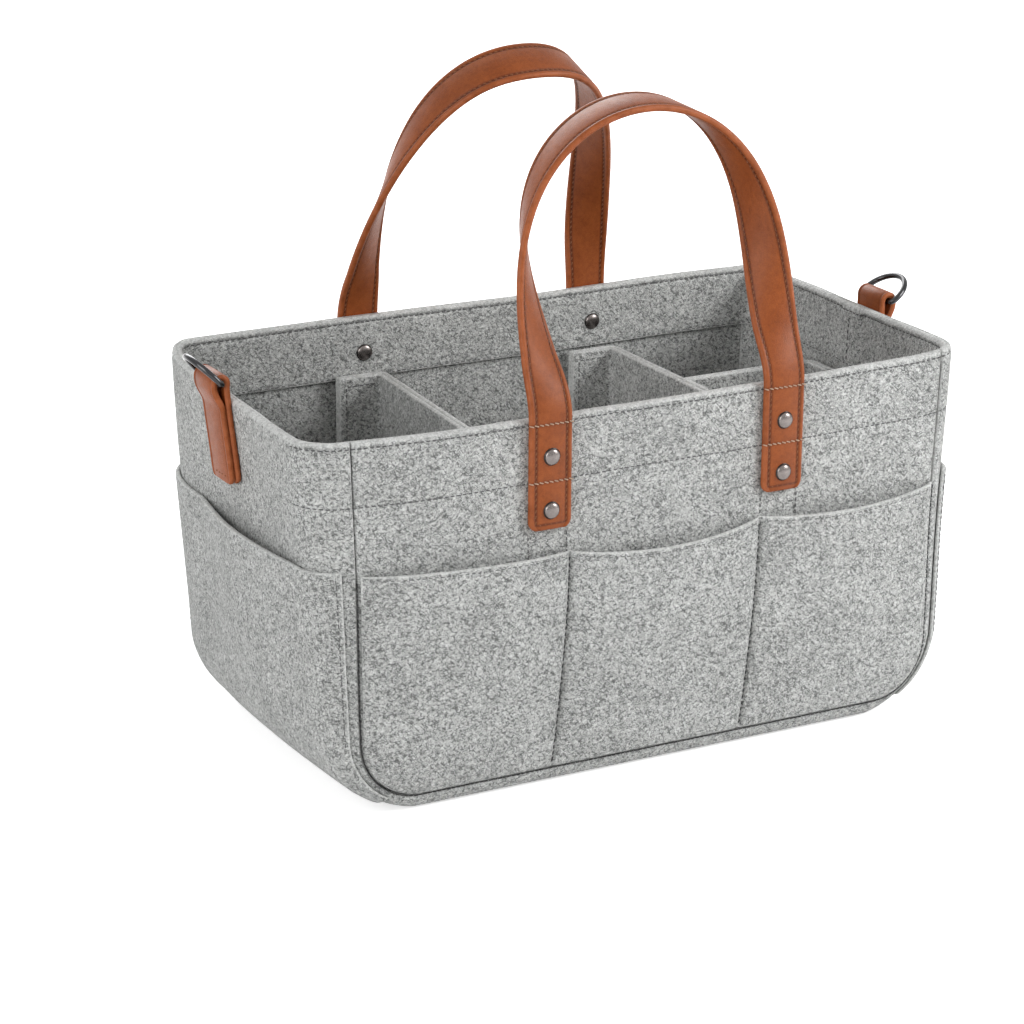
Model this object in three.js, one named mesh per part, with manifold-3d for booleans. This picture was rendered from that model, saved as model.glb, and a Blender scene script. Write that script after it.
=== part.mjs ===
// A felt car seat organizer: a soft open box with pockets, dividers, leather strap handles and D-rings.
// Millimetres, +Z up, the front pockets face -Y. The origin is the middle of the underside.
import * as THREE from "three";
import { mergeVertices } from "three/addons/utils/BufferGeometryUtils.js";
import Module from "manifold-3d";

const wasm = await Module();
wasm.setup();

// Body
const DEPTH = 200; // outside of the front panel to outside of the back panel
const HEIGHT = 203; // underside to rim
const FELT = 3; // one layer of felt
const GAP = 0.3; // clearance between pieces that touch
const SEAM_TOP = 172; // half the panel's width at the rim
const SEAM_LOW = 168; // half the panel's width where its lower corners start
const SEAM_RADIUS = 32; // lower corners of the panels
const SEAM_LIFT = 10; // underside to the panel's lower edge
const REACH = { left: 24, right: 13 }; // how far the ends stand out from the seams at the rim
const REACH_LOW = { left: 15.5, right: 10 }; // the same where the lower corners start
// How much of an end its upright corners take: at the rim, then where the lower corners start.
const CORNER = { left: { front: 22, back: 60 }, right: { front: 18, back: 60 } };
const CORNER_LOW = { left: { front: 16, back: 60 }, right: { front: 16, back: 40 } };
const CORNER_BASE = 11; // the same along the underside
const CORNER_TUCK = 4; // how much closer to the seam the gusset runs halfway round a lower corner
const GUSSET_TURNS = 5; // facets across an upright corner
const GUSSET_CORNER_STEPS = 6; // facets round a lower corner
const GUSSET_STEPS = 3; // facets down an end, and along the bottom
const PANEL_STEPS = 8; // facets round a panel's lower corner

// Rim facing
const FRONT_LOW = { left: 4.8, right: 1.8 }; // how much lower the rim is along the front
const LOWERING = { from: 60, to: -40 }; // where, along the depth, the rim goes down to that
const FACING_HEIGHT = 34.5; // rim to the facing's lower edge

// Pockets
const POCKET_TOP = 131; // top of the front pocket at its outer ends
const POCKET_SEAM_TOP = 125; // top of the front pocket at the seams between its bays
const POCKET_SAG = 5; // how much a bay's top edge dips
const POCKET_BULGE = 5.6; // how far a bay stands out
const POCKET_INSET = 1.5; // pocket edge to the panel seam
const POCKET_FILL = 0.55; // share of a pocket's height over which it fills out
const BAY_STEPS = 8; // facets across a bay
const BAY_CORNER_STEPS = 3; // facets round the pocket's lower corner
const POCKET_ROWS = 6;
const SEAM_SLANT = 9; // how far the bay seams run to the left towards the bottom
const SIDE_POCKET_TOP = 135;
const SIDE_POCKET_BULGE = 6;
const SIDE_POCKET_BEND = 36; // degrees round the upright corner where a side pocket starts
const SIDE_POCKET_TUCK = 60; // degrees that a side pocket follows the lower corner
const SIDE_POCKET_STEPS = 6; // facets across its flat part, and down its straight part

// Base
const BOARD = 2;
const LINER_MARGIN = 1.5; // base felt's edge to the curve of the walls

// Dividers
const DIVIDER = 6; // two layers of felt
const DIVIDER_BEND = 3; // inside of a flange's bend
const DIVIDER_DROP = { left: 31.5, right: 35 }; // rim to a divider's top edge
const FLANGE = 27; // middle of a divider's wall to the edge of its flange
const RIGHT_SHIFT = 2.5; // right divider's wall, to the right of the straps' edges
const CROSS_Y = 24; // middle of the cross divider, to the back of the box's middle
const CROSS_FLANGE = 24;
const CROSS_DROP = 3; // cross divider's top edge below the right divider's
const BEND_STEPS = 4; // facets round a bend or a small corner

// Leather straps
const STRAP_WIDTH = 24;
const STRAP = 3.6;
const STRAP_ROUND = 1.2; // the strap's long edges
const STRAP_CORNER = 5; // lower corners of an anchor
const FRONT_STRAPS = [-64.5, 72]; // middles of the front anchors
const REAR_STRAPS = [-72, 70];

// Handles. fullness: how straight the legs rise before the arch turns, in radians, and skew the
// same for one leg against the other. slope: lean towards the back at the rim. reach: lean at the
// top. spread: lean of one leg against the other. tilt and roll: turn of the strap at the top
// past level, and of one leg against the other, in radians.
const FRONT_ARCH = {
  height: 140,
  fullness: 0.46,
  skew: -0.09,
  slope: 0.53,
  reach: 37,
  spread: 0,
  tilt: 0.14,
  roll: 0.11,
};
const REAR_ARCH = {
  height: 143,
  fullness: 0,
  skew: -0.14,
  slope: -0.08,
  reach: -62,
  spread: -20,
  tilt: 0.63,
  roll: 0.17,
};
const SPREAD_TURN = 6; // how fast the spread changes from one leg to the other
const ARCH_STEPS = 44;

// Rivets: rim to the rivet
const FRONT_DROPS = { upper: 24.5, lower: 52.5 };
const REAR_DROPS = { upper: 20, lower: 48 };
const RIVET_EDGE = 10.5; // lower rivet to the anchor's lower edge
const RIVET_RADIUS = 5;
const RIVET_DOME = 2.4;
const INNER_RADIUS = 4.7;
const INNER_DOME = 2;
const POST_RADIUS = 2;
const CAP_EDGE = 0.7; // thickness of a cap at its edge
const RIVET_STEPS = 12; // facets round a rivet
const DOME_STEPS = 3; // facets from a cap's edge to its top

// D-rings and their tabs
const TAB = 3.2; // one layer of the tab's leather
const TAB_DROP = 46; // rim to the tab's lower edge
const WIRE = 1.6; // radius of the D-ring's wire
const WIRE_PLAY = 0.35; // between the wire and the tab's loop
const TAB_Y = { left: 0, right: -11 }; // middles of the tabs along the ends
const BAR_RISE = { left: 6.5, right: 4.5 }; // rim to the middle of the D-ring's bar
const RING_REACH = 17.5; // bar to the far side of the ring, wire middles
const RING_BEND = 3; // corners at the ends of the bar
const RING_STEPS = 36; // facets along the wire
const WIRE_STEPS = 8; // facets round the wire
const RING_PLAY = 0.8; // tab's edge to the ring's side, each side
const RING_REST = { left: 46, right: 34 }; // degrees that the rings stand up from level
const MERGE_DROP = 14; // bar to where the tab's two layers meet

const colours = {
  felt: { color: 0xaeb0b0, roughness: 0.95, metalness: 0 },
  leather: { color: 0xa85f37, roughness: 0.55, metalness: 0 },
  metal: { color: 0x5c5a58, roughness: 0.3, metalness: 1 },
  board: { color: 0x9a8a70, roughness: 0.9, metalness: 0 },
};

const part = new THREE.Group();

function add(name, geometry, look) {
  const mesh = new THREE.Mesh(geometry, new THREE.MeshStandardMaterial(colours[look]));
  mesh.name = name;
  part.add(mesh);
}

// Solids: geometry to manifold-3d and back

function toSolid(geometry) {
  const bare = geometry.clone();
  bare.deleteAttribute("normal");
  bare.deleteAttribute("uv");
  const merged = mergeVertices(bare, 1e-4);
  return new wasm.Manifold(
    new wasm.Mesh({
      numProp: 3,
      vertProperties: merged.attributes.position.array,
      triVerts: new Uint32Array(merged.index.array),
    }),
  );
}

function toGeometry(solid) {
  const mesh = solid.getMesh();
  const geometry = new THREE.BufferGeometry();
  geometry.setAttribute("position", new THREE.BufferAttribute(mesh.vertProperties, 3));
  geometry.setIndex(new THREE.BufferAttribute(mesh.triVerts, 1));
  geometry.computeVertexNormals();
  return geometry;
}

// A closed sheet between two grids of points. face(i, j) and back(i, j) give [x, y, z];
// seen from outside, i runs right and j runs up on the face. A ring sheet closes on itself along i.
function sheet(columns, rows, face, back, ring = false) {
  const points = [];
  const across = ring ? columns : columns + 1;
  for (const side of [face, back]) {
    for (let j = 0; j <= rows; j++) {
      for (let i = 0; i < across; i++) points.push(...side(i, j));
    }
  }
  const at = (side, i, j) => side * across * (rows + 1) + j * across + (i % across);
  const faces = [];
  const quad = (a, b, c, d) => faces.push(a, b, c, a, c, d);
  for (let j = 0; j < rows; j++) {
    for (let i = 0; i < columns; i++) {
      quad(at(0, i, j), at(0, i + 1, j), at(0, i + 1, j + 1), at(0, i, j + 1));
      quad(at(1, i, j), at(1, i, j + 1), at(1, i + 1, j + 1), at(1, i + 1, j));
    }
    if (ring) continue;
    quad(at(1, 0, j), at(0, 0, j), at(0, 0, j + 1), at(1, 0, j + 1));
    quad(at(0, columns, j), at(1, columns, j), at(1, columns, j + 1), at(0, columns, j + 1));
  }
  for (let i = 0; i < columns; i++) {
    quad(at(1, i, 0), at(1, i + 1, 0), at(0, i + 1, 0), at(0, i, 0));
    quad(at(0, i, rows), at(0, i + 1, rows), at(1, i + 1, rows), at(1, i, rows));
  }
  const geometry = new THREE.BufferGeometry();
  geometry.setAttribute("position", new THREE.Float32BufferAttribute(points, 3));
  geometry.setIndex(faces);
  geometry.computeVertexNormals();
  return geometry;
}

// Turns a geometry face for face, for one that a mirror has turned inside out.
function flipped(geometry) {
  const index = geometry.index.array;
  for (let i = 0; i < index.length; i += 3) [index[i + 1], index[i + 2]] = [index[i + 2], index[i + 1]];
  geometry.computeVertexNormals();
  return geometry;
}

// The same shape turned half round about the upright axis, for the back of the box.
const toBack = (geometry) => geometry.clone().rotateZ(Math.PI);

// The shape of the box. Its ends follow the panels' outline, and stand out from it by a reach.

const CORNER_START = SEAM_LIFT + SEAM_RADIUS; // height where the panels' lower corners start
const FLAT_X = SEAM_LOW - SEAM_RADIUS; // half the flat bottom's length
const mix = (a, b, t) => a + (b - a) * t;
const radians = (degrees) => (degrees * Math.PI) / 180;
const rise = (z) => (z - CORNER_START) / (HEIGHT - CORNER_START);
// An end is -1 at the left and 1 at the right. A side is -1 at the front and 1 at the back.
const endName = (end) => (end < 0 ? "left" : "right");
const sideName = (side) => (side < 0 ? "front" : "back");

// Half the panel's width at a height on its straight edge.
const seamAt = (z) => mix(SEAM_LOW, SEAM_TOP, rise(z));
const reachAt = (z, end) => mix(REACH_LOW[endName(end)], REACH[endName(end)], rise(z));
// Both upright corners of an end at a height.
function cornersAt(z, end) {
  const low = CORNER_LOW[endName(end)];
  const top = CORNER[endName(end)];
  return { front: mix(low.front, top.front, rise(z)), back: mix(low.back, top.back, rise(z)) };
}
// Outside of an end wall at a height.
const endAt = (z, end) => end * (seamAt(z) + reachAt(z, end));

// Height of the panel's lower edge at a distance from the middle, for an outline that is inset.
function lowerEdge(x, inset) {
  const radius = SEAM_RADIUS - inset;
  const over = Math.max(0, Math.abs(x) - FLAT_X);
  return CORNER_START - Math.sqrt(Math.max(0, radius * radius - over * over));
}

// A station of the gusset has its seam point, its outward direction, its reach and its corners.
function straightStation(z, end) {
  return { x: end * seamAt(z), z, nx: end, nz: 0, reach: reachAt(z, end), corners: cornersAt(z, end) };
}

// Reach at a share of a lower corner, from the end wall to the underside.
function cornerReach(share, end) {
  const tuck = CORNER_TUCK * Math.sin(Math.PI * share);
  return mix(REACH_LOW[endName(end)], SEAM_LIFT, share) - tuck;
}

function cornerStation(turn, end) {
  const nx = end * Math.cos(turn);
  const nz = -Math.sin(turn);
  const share = turn / (Math.PI / 2);
  const { front, back } = CORNER_LOW[endName(end)];
  return {
    x: end * FLAT_X + SEAM_RADIUS * nx,
    z: CORNER_START + SEAM_RADIUS * nz,
    nx,
    nz,
    reach: cornerReach(share, end),
    corners: { front: mix(front, CORNER_BASE, share), back: mix(back, CORNER_BASE, share) },
  };
}

// Stations down one end, round the corner, along the bottom and up the other end.
function gussetStations(straightSteps, cornerSteps, bottomSteps) {
  const half = (side) => {
    const list = [];
    for (let k = 0; k <= straightSteps; k++) {
      list.push(straightStation(mix(HEIGHT, CORNER_START, k / straightSteps), side));
    }
    for (let k = 1; k <= cornerSteps; k++) {
      list.push(cornerStation(((k / cornerSteps) * Math.PI) / 2, side));
    }
    return list;
  };
  const left = half(-1);
  const right = half(1).reverse();
  const first = left[left.length - 1];
  const middle = [];
  for (let k = 1; k < bottomSteps; k++) {
    middle.push({ ...first, x: mix(first.x, right[0].x, k / bottomSteps) });
  }
  return [...left, ...middle, ...right];
}

// A point of the gusset at a station. bend turns from 0 at a seam to a quarter on the end wall,
// side is -1 at the front and 1 at the back, and inset is the distance in from the outside.
function gussetPoint(station, bend, side, inset) {
  const { x, z, nx, nz, reach, corners } = station;
  const out = (reach - inset) * Math.sin(bend);
  const y = DEPTH / 2 - inset - (corners[sideName(side)] - inset) * (1 - Math.cos(bend));
  return [x + nx * out, side * y, z + nz * out];
}

// Bends across the gusset, front to back.
function gussetBends(steps) {
  const list = [];
  for (let k = 0; k <= steps; k++) list.push({ side: -1, bend: ((k / steps) * Math.PI) / 2 });
  for (let k = steps; k >= 0; k--) list.push({ side: 1, bend: ((k / steps) * Math.PI) / 2 });
  return list;
}

function makeGusset() {
  const stations = gussetStations(GUSSET_STEPS, GUSSET_CORNER_STEPS, GUSSET_STEPS);
  const bends = gussetBends(GUSSET_TURNS).reverse();
  const point = (inset) => (i, j) =>
    gussetPoint(stations[i], bends[j].bend, bends[j].side, inset);
  return withRim(sheet(stations.length - 1, bends.length - 1, point(0), point(FELT)));
}

// Moves a piece's top edge down to the rim, which is lower along the front.
function withRim(geometry) {
  const at = geometry.attributes.position;
  for (let k = 0; k < at.count; k++) {
    if (at.getZ(k) < HEIGHT - GAP) continue;
    const low = mix(FRONT_LOW.left, FRONT_LOW.right, 0.5 + at.getX(k) / (2 * SEAM_TOP));
    const share = (LOWERING.from - at.getY(k)) / (LOWERING.from - LOWERING.to);
    at.setZ(k, HEIGHT - low * Math.min(1, Math.max(0, share)));
  }
  geometry.computeVertexNormals();
  return geometry;
}

// Outline of a panel inside the seams, as seen from the front.
function panelShape(inset) {
  const shape = new THREE.Shape();
  const low = SEAM_LOW - inset;
  const top = SEAM_TOP - inset;
  const radius = SEAM_RADIUS - inset;
  shape.moveTo(-top, HEIGHT);
  shape.lineTo(-low, CORNER_START);
  shape.absarc(-FLAT_X, CORNER_START, radius, Math.PI, 1.5 * Math.PI);
  shape.absarc(FLAT_X, CORNER_START, radius, 1.5 * Math.PI, 2 * Math.PI);
  shape.lineTo(top, HEIGHT);
  shape.closePath();
  return shape;
}

function hole(x, z) {
  const path = new THREE.Path();
  path.absarc(x, z, POST_RADIUS + GAP, 0, 2 * Math.PI, true);
  return path;
}

// A flat outline in X and Z made into a plate from y = near to y = near + thickness.
function plate(shape, near, thickness, curveSteps) {
  const geometry = new THREE.ExtrudeGeometry(shape, {
    depth: thickness,
    bevelEnabled: false,
    curveSegments: curveSteps,
  });
  geometry.rotateX(Math.PI / 2);
  geometry.translate(0, near + thickness, 0);
  return geometry;
}

function makePanel(straps, drops) {
  const shape = panelShape(GAP);
  for (const x of straps) {
    for (const drop of Object.values(drops)) shape.holes.push(hole(x, HEIGHT - drop));
  }
  return plate(shape, -DEPTH / 2, FELT, PANEL_STEPS);
}

// Rim facing: a ring of felt that lines the rim. Points of the wall's plan at a height.
function facingPlan(z, inset) {
  const list = [];
  const corners = [
    { end: -1, side: -1, from: 1 },
    { end: 1, side: -1, from: 0 },
    { end: 1, side: 1, from: 1 },
    { end: -1, side: 1, from: 0 },
  ];
  for (const { end, side, from } of corners) {
    for (let k = 0; k <= GUSSET_TURNS; k++) {
      const bend = Math.abs(from - k / GUSSET_TURNS) * (Math.PI / 2);
      const out = (reachAt(z, end) - inset) * Math.sin(bend);
      const corner = cornersAt(z, end)[sideName(side)] - inset;
      list.push([
        end * (seamAt(z) + out),
        side * (DEPTH / 2 - inset - corner * (1 - Math.cos(bend))),
        z,
      ]);
    }
  }
  return list;
}

function makeFacing() {
  const low = HEIGHT - FACING_HEIGHT;
  const outer = [facingPlan(low, FELT + GAP), facingPlan(HEIGHT, FELT + GAP)];
  const inner = [facingPlan(low, 2 * FELT + GAP), facingPlan(HEIGHT, 2 * FELT + GAP)];
  const count = outer[0].length;
  const ring = sheet(count, 1, (i, j) => outer[j][i % count], (i, j) => inner[j][i % count], true);
  return drilled(withRim(ring), [
    ...FRONT_STRAPS.map((x) => ({ x, side: -1, drop: FRONT_DROPS.upper })),
    ...REAR_STRAPS.map((x) => ({ x, side: 1, drop: REAR_DROPS.upper })),
  ]);
}

// Cuts a rivet's hole along Y through a piece, at the front or the back.
function drilled(geometry, places) {
  let solid = toSolid(geometry);
  for (const { x, side, drop } of places) {
    const radius = POST_RADIUS + GAP;
    const bore = new THREE.CylinderGeometry(radius, radius, 8 * FELT, RIVET_STEPS);
    bore.translate(x, (side * DEPTH) / 2, HEIGHT - drop);
    solid = solid.subtract(toSolid(bore));
  }
  return toGeometry(solid);
}

// Pockets on a panel: three bays between two seams that slant a little.

// Where the bay seams run: along the inner edges of the straps at the top.
function baySeams(z) {
  const slant = (SEAM_SLANT * (POCKET_SEAM_TOP - z)) / (POCKET_SEAM_TOP - SEAM_LIFT);
  return [FRONT_STRAPS[0] + STRAP_WIDTH / 2 - slant, FRONT_STRAPS[1] - STRAP_WIDTH / 2 - slant];
}

// The edges of the three bays at a height.
function bayEdges(z) {
  const edge = mix(SEAM_LOW, SEAM_TOP, Math.max(0, rise(z))) - POCKET_INSET;
  return [-edge, ...baySeams(z), edge];
}

// Where the pocket's columns start along its lower edge, from left to right, each with its bay.
function pocketColumns() {
  const list = [];
  const low = SEAM_LOW - POCKET_INSET - FLAT_X;
  const corner = (end, k) => {
    const turn = ((k / BAY_CORNER_STEPS) * Math.PI) / 2;
    return { x: end * (FLAT_X + low * Math.cos(turn)), bay: end < 0 ? 0 : 2 };
  };
  for (let k = 0; k < BAY_CORNER_STEPS; k++) list.push(corner(-1, k));
  const edges = [-FLAT_X, ...baySeams(SEAM_LIFT), FLAT_X];
  for (let bay = 0; bay < 3; bay++) {
    for (let k = bay ? 1 : 0; k <= BAY_STEPS; k++) {
      list.push({ x: mix(edges[bay], edges[bay + 1], k / BAY_STEPS), bay });
    }
  }
  for (let k = BAY_CORNER_STEPS - 1; k >= 0; k--) list.push(corner(1, k));
  return list;
}

// Where a column ends at the pocket's top edge, which dips in each bay.
function pocketTop({ x, bay }) {
  const low = bayEdges(SEAM_LIFT);
  const top = bayEdges(POCKET_SEAM_TOP);
  const heights = [POCKET_TOP, POCKET_SEAM_TOP, POCKET_SEAM_TOP, POCKET_TOP];
  const share = (x - low[bay]) / (low[bay + 1] - low[bay]);
  const dip = POCKET_SAG * (1 - (2 * share - 1) ** 2);
  return {
    x: mix(top[bay], top[bay + 1], share),
    z: mix(heights[bay], heights[bay + 1], share) - dip,
  };
}

// A point of the pocket at a share of its height. It bulges between the seams of its bay.
function pocketPoint(column, share, depth) {
  const top = pocketTop(column);
  const x = mix(column.x, top.x, share);
  const z = mix(lowerEdge(column.x, POCKET_INSET), top.z, share);
  const edges = bayEdges(z);
  const across = (2 * (x - edges[column.bay])) / (edges[column.bay + 1] - edges[column.bay]) - 1;
  const crown = Math.max(0, 1 - across * across);
  const fill = Math.sin((Math.PI / 2) * Math.min(1, share / POCKET_FILL));
  return [x, -(DEPTH / 2 + GAP + depth + POCKET_BULGE * crown * fill), z];
}

function makePocket() {
  const columns = pocketColumns();
  const point = (depth) => (i, j) => pocketPoint(columns[i], j / POCKET_ROWS, depth);
  return sheet(columns.length - 1, POCKET_ROWS, point(FELT), point(0));
}

// Side pockets follow the gusset's outside, from their top edge down and round the lower corner.
function sidePocketStations(end) {
  const list = [];
  for (let k = 0; k <= SIDE_POCKET_STEPS; k++) {
    list.push(straightStation(mix(SIDE_POCKET_TOP, CORNER_START, k / SIDE_POCKET_STEPS), end));
  }
  const step = 90 / GUSSET_CORNER_STEPS;
  for (let turn = step; turn <= SIDE_POCKET_TUCK; turn += step) {
    list.push(cornerStation(radians(turn), end));
  }
  return list;
}

// Places across a side pocket: bends round the front corner, shares of the flat, and bends back.
function sidePocketPlaces() {
  const list = [];
  const facet = 90 / GUSSET_TURNS;
  for (let bend = SIDE_POCKET_BEND; bend <= 90; bend += facet) list.push({ side: -1, bend });
  for (let k = 1; k < SIDE_POCKET_STEPS; k++) list.push({ share: k / SIDE_POCKET_STEPS });
  for (let bend = 90; bend >= SIDE_POCKET_BEND; bend -= facet) list.push({ side: 1, bend });
  return list;
}

// How far out and where along the depth a place lies, at a station, lifted off the gusset.
function sidePocketSection(station, { side, bend }, lift) {
  const corner = station.corners[sideName(side)] + lift;
  return {
    out: (station.reach + lift) * Math.sin(radians(bend)),
    y: side * (DEPTH / 2 + lift - corner * (1 - Math.cos(radians(bend)))),
  };
}

function sidePocketPoint(station, place, lift, fill) {
  if (place.side) return sidePocketSection(station, place, lift);
  const front = sidePocketSection(station, { side: -1, bend: 90 }, lift);
  const back = sidePocketSection(station, { side: 1, bend: 90 }, lift);
  const across = 2 * place.share - 1;
  return {
    out: front.out + SIDE_POCKET_BULGE * (1 - across * across) * fill,
    y: mix(front.y, back.y, place.share),
  };
}

function makeSidePocket(end) {
  const stations = sidePocketStations(end).reverse();
  const places = sidePocketPlaces();
  const rows = stations.length - 1;
  const full = rows - SIDE_POCKET_STEPS / 2; // row from which the pocket stands full
  const point = (depth) => (i, j) => {
    const { x, z, nx, nz } = stations[j];
    const fill = Math.sin((Math.PI / 2) * Math.min(1, j / full));
    const { out, y } = sidePocketPoint(stations[j], places[i], GAP + depth, fill);
    return [x + nx * out, y, z + nz * out];
  };
  const made = sheet(places.length - 1, rows, point(FELT), point(0));
  return end < 0 ? flipped(made) : made;
}

// Base board on the gusset's flat bottom, and the felt that covers it, wider as the walls curve out.
const BOARD_LOW = FELT + GAP;
const LINER_LOW = BOARD_LOW + BOARD + GAP;
const LINER_TOP = LINER_LOW + FELT;
const FLAT_Y = DEPTH / 2 - CORNER_BASE; // half the flat bottom's depth

// Half its length and depth, where the gusset's inside comes up to its lower face.
function linerHalves() {
  const radius = (share) => SEAM_RADIUS + cornerReach(share, 1) - FELT;
  let turn = 90;
  while (CORNER_START - radius(turn / 90) * Math.sin(radians(turn)) < LINER_LOW) turn--;
  const alongX = radius(turn / 90) * Math.cos(radians(turn));
  const share = 1 - (LINER_LOW - FELT) / (SEAM_LIFT - FELT);
  const alongY = (CORNER_BASE - FELT) * Math.sqrt(1 - share * share);
  return [FLAT_X + alongX - LINER_MARGIN, FLAT_Y + alongY - LINER_MARGIN];
}

function baseOutline(halfX, halfY) {
  const corner = CORNER_BASE;
  const shape = new THREE.Shape();
  shape.moveTo(-halfX + corner, -halfY);
  shape.absarc(halfX - corner, -halfY + corner, corner, 1.5 * Math.PI, 2 * Math.PI);
  shape.absarc(halfX - corner, halfY - corner, corner, 0, Math.PI / 2);
  shape.absarc(-halfX + corner, halfY - corner, corner, Math.PI / 2, Math.PI);
  shape.absarc(-halfX + corner, -halfY + corner, corner, Math.PI, 1.5 * Math.PI);
  return shape;
}

function slab(shape, low, thickness) {
  const geometry = new THREE.ExtrudeGeometry(shape, {
    depth: thickness,
    bevelEnabled: false,
    curveSegments: BEND_STEPS,
  });
  return geometry.translate(0, 0, low);
}

// Dividers: a wall across the box with a flange at each end, bent from double felt.

const DIVIDER_TOP = { left: HEIGHT - DIVIDER_DROP.left, right: HEIGHT - DIVIDER_DROP.right };
const DIVIDER_LOW = LINER_TOP + 2 * GAP;

// Outline of a bent strip of even thickness along a polyline, with round bends.
function stripShape(points, thickness, bend) {
  const half = thickness / 2;
  const middle = [];
  points.forEach((p, k) => {
    if (k === 0 || k === points.length - 1) {
      middle.push(p.clone());
      return;
    }
    const before = points[k - 1].clone().sub(p).normalize();
    const after = points[k + 1].clone().sub(p).normalize();
    const cut = bend + half;
    const curve = new THREE.QuadraticBezierCurve(
      p.clone().addScaledVector(before, cut),
      p.clone(),
      p.clone().addScaledVector(after, cut),
    );
    middle.push(...curve.getPoints(BEND_STEPS));
  });
  const offset = (sign) =>
    middle.map((p, k) => {
      const a = middle[Math.max(0, k - 1)];
      const b = middle[Math.min(middle.length - 1, k + 1)];
      const along = b.clone().sub(a).normalize();
      return p.clone().add(new THREE.Vector2(-along.y, along.x).multiplyScalar(sign * half));
    });
  return new THREE.Shape([...offset(-1), ...offset(1).reverse()]);
}

// A divider whose flanges are sewn over the rim facing and down the panels, behind the straps.
// Each wall end meets a strap's edge, and the turns say which way each flange runs.
function makeDivider(frontX, frontTurn, rearX, rearTurn, top) {
  const reach = DEPTH / 2 - 2 * (FELT + GAP) - DIVIDER / 2;
  const path = [
    new THREE.Vector2(frontX + frontTurn * FLANGE, -reach),
    new THREE.Vector2(frontX, -reach),
    new THREE.Vector2(rearX, reach),
    new THREE.Vector2(rearX + rearTurn * FLANGE, reach),
  ];
  return slab(stripShape(path, DIVIDER, DIVIDER_BEND), DIVIDER_LOW, top - DIVIDER_LOW);
}

const LEFT_DIVIDER = {
  front: FRONT_STRAPS[0] - STRAP_WIDTH / 2 + DIVIDER / 2,
  rear: REAR_STRAPS[0] + STRAP_WIDTH / 2 - DIVIDER / 2,
};
const RIGHT_DIVIDER = {
  front: FRONT_STRAPS[1] + STRAP_WIDTH / 2 - DIVIDER / 2 + RIGHT_SHIFT,
  rear: REAR_STRAPS[1] + STRAP_WIDTH / 2 - DIVIDER / 2 + RIGHT_SHIFT,
};

// The cross divider stands between the right divider and the right end, and lifts out.
function makeCrossDivider() {
  const slope = (RIGHT_DIVIDER.rear - RIGHT_DIVIDER.front) / DEPTH;
  const face = (y) => mix(RIGHT_DIVIDER.front, RIGHT_DIVIDER.rear, 0.5 + y / DEPTH) + DIVIDER / 2;
  const near = face(CROSS_Y) + 2 * GAP + DIVIDER / 2;
  const end = Math.min(endAt(CORNER_START, 1), endAt(HEIGHT, 1)); // so that it also clears the rim
  const far = end - FELT - 2 * GAP - DIVIDER / 2;
  const length = CROSS_FLANGE - DIVIDER / 2;
  const path = [
    new THREE.Vector2(near - slope * length, CROSS_Y - length),
    new THREE.Vector2(near, CROSS_Y),
    new THREE.Vector2(far, CROSS_Y),
    new THREE.Vector2(far, CROSS_Y - length),
  ];
  const shape = stripShape(path, DIVIDER, DIVIDER_BEND);
  return trimmedToCorner(slab(shape, DIVIDER_LOW, DIVIDER_TOP.right - CROSS_DROP - DIVIDER_LOW));
}

// Cuts an upright piece's lower right corner to the inside of the gusset's lower corner.
function trimmedToCorner(geometry) {
  const cut = new THREE.Shape();
  for (let k = 0; k <= GUSSET_CORNER_STEPS; k++) {
    const share = k / GUSSET_CORNER_STEPS;
    const turn = (share * Math.PI) / 2;
    const radius = SEAM_RADIUS + cornerReach(share, 1) - FELT - 2 * GAP;
    const x = FLAT_X + radius * Math.cos(turn);
    const z = CORNER_START - radius * Math.sin(turn);
    if (k) cut.lineTo(x, z);
    else cut.moveTo(x, z);
  }
  cut.lineTo(FLAT_X, 0);
  cut.lineTo(FLAT_X + 2 * SEAM_RADIUS, 0);
  cut.lineTo(FLAT_X + 2 * SEAM_RADIUS, CORNER_START);
  cut.closePath();
  const cutter = plate(cut, -DEPTH / 2, DEPTH, 1);
  return toGeometry(toSolid(geometry).subtract(toSolid(cutter)));
}

// Strap anchors: the sewn ends of the handles on the outside of the panels.
const STRAP_FACE = DEPTH / 2 + GAP; // inner face of an anchor
const HINGE_Y = STRAP_FACE + STRAP / 2; // middle of the strap, where it flexes at the rim
const ANCHOR_TOP = HEIGHT - STRAP / 2 - GAP;

function makeAnchor(x, drops) {
  const half = STRAP_WIDTH / 2;
  const low = HEIGHT - drops.lower - RIVET_EDGE;
  const shape = new THREE.Shape();
  shape.moveTo(x - half, ANCHOR_TOP);
  shape.lineTo(x - half, low + STRAP_CORNER);
  shape.absarc(x - half + STRAP_CORNER, low + STRAP_CORNER, STRAP_CORNER, Math.PI, 1.5 * Math.PI);
  shape.absarc(x + half - STRAP_CORNER, low + STRAP_CORNER, STRAP_CORNER, 1.5 * Math.PI, 2 * Math.PI);
  shape.lineTo(x + half, ANCHOR_TOP);
  shape.closePath();
  for (const drop of Object.values(drops)) shape.holes.push(hole(x, HEIGHT - drop));
  return plate(shape, -STRAP_FACE - STRAP, STRAP, BEND_STEPS);
}

// Handles: a flat strap that rises from each anchor, turns by a quarter and arches over.

// Round-edged section of the strap, u across its width and v through its thickness.
function strapSection() {
  const u = STRAP_WIDTH / 2 - STRAP_ROUND;
  const v = STRAP / 2 - STRAP_ROUND;
  const list = [];
  for (const [su, sv, start] of [[1, -1, 270], [1, 1, 0], [-1, 1, 90], [-1, -1, 180]]) {
    for (const turn of [0, 45, 90]) {
      const angle = radians(start + turn);
      list.push([su * u + STRAP_ROUND * Math.cos(angle), sv * v + STRAP_ROUND * Math.sin(angle)]);
    }
  }
  return list;
}

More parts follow.
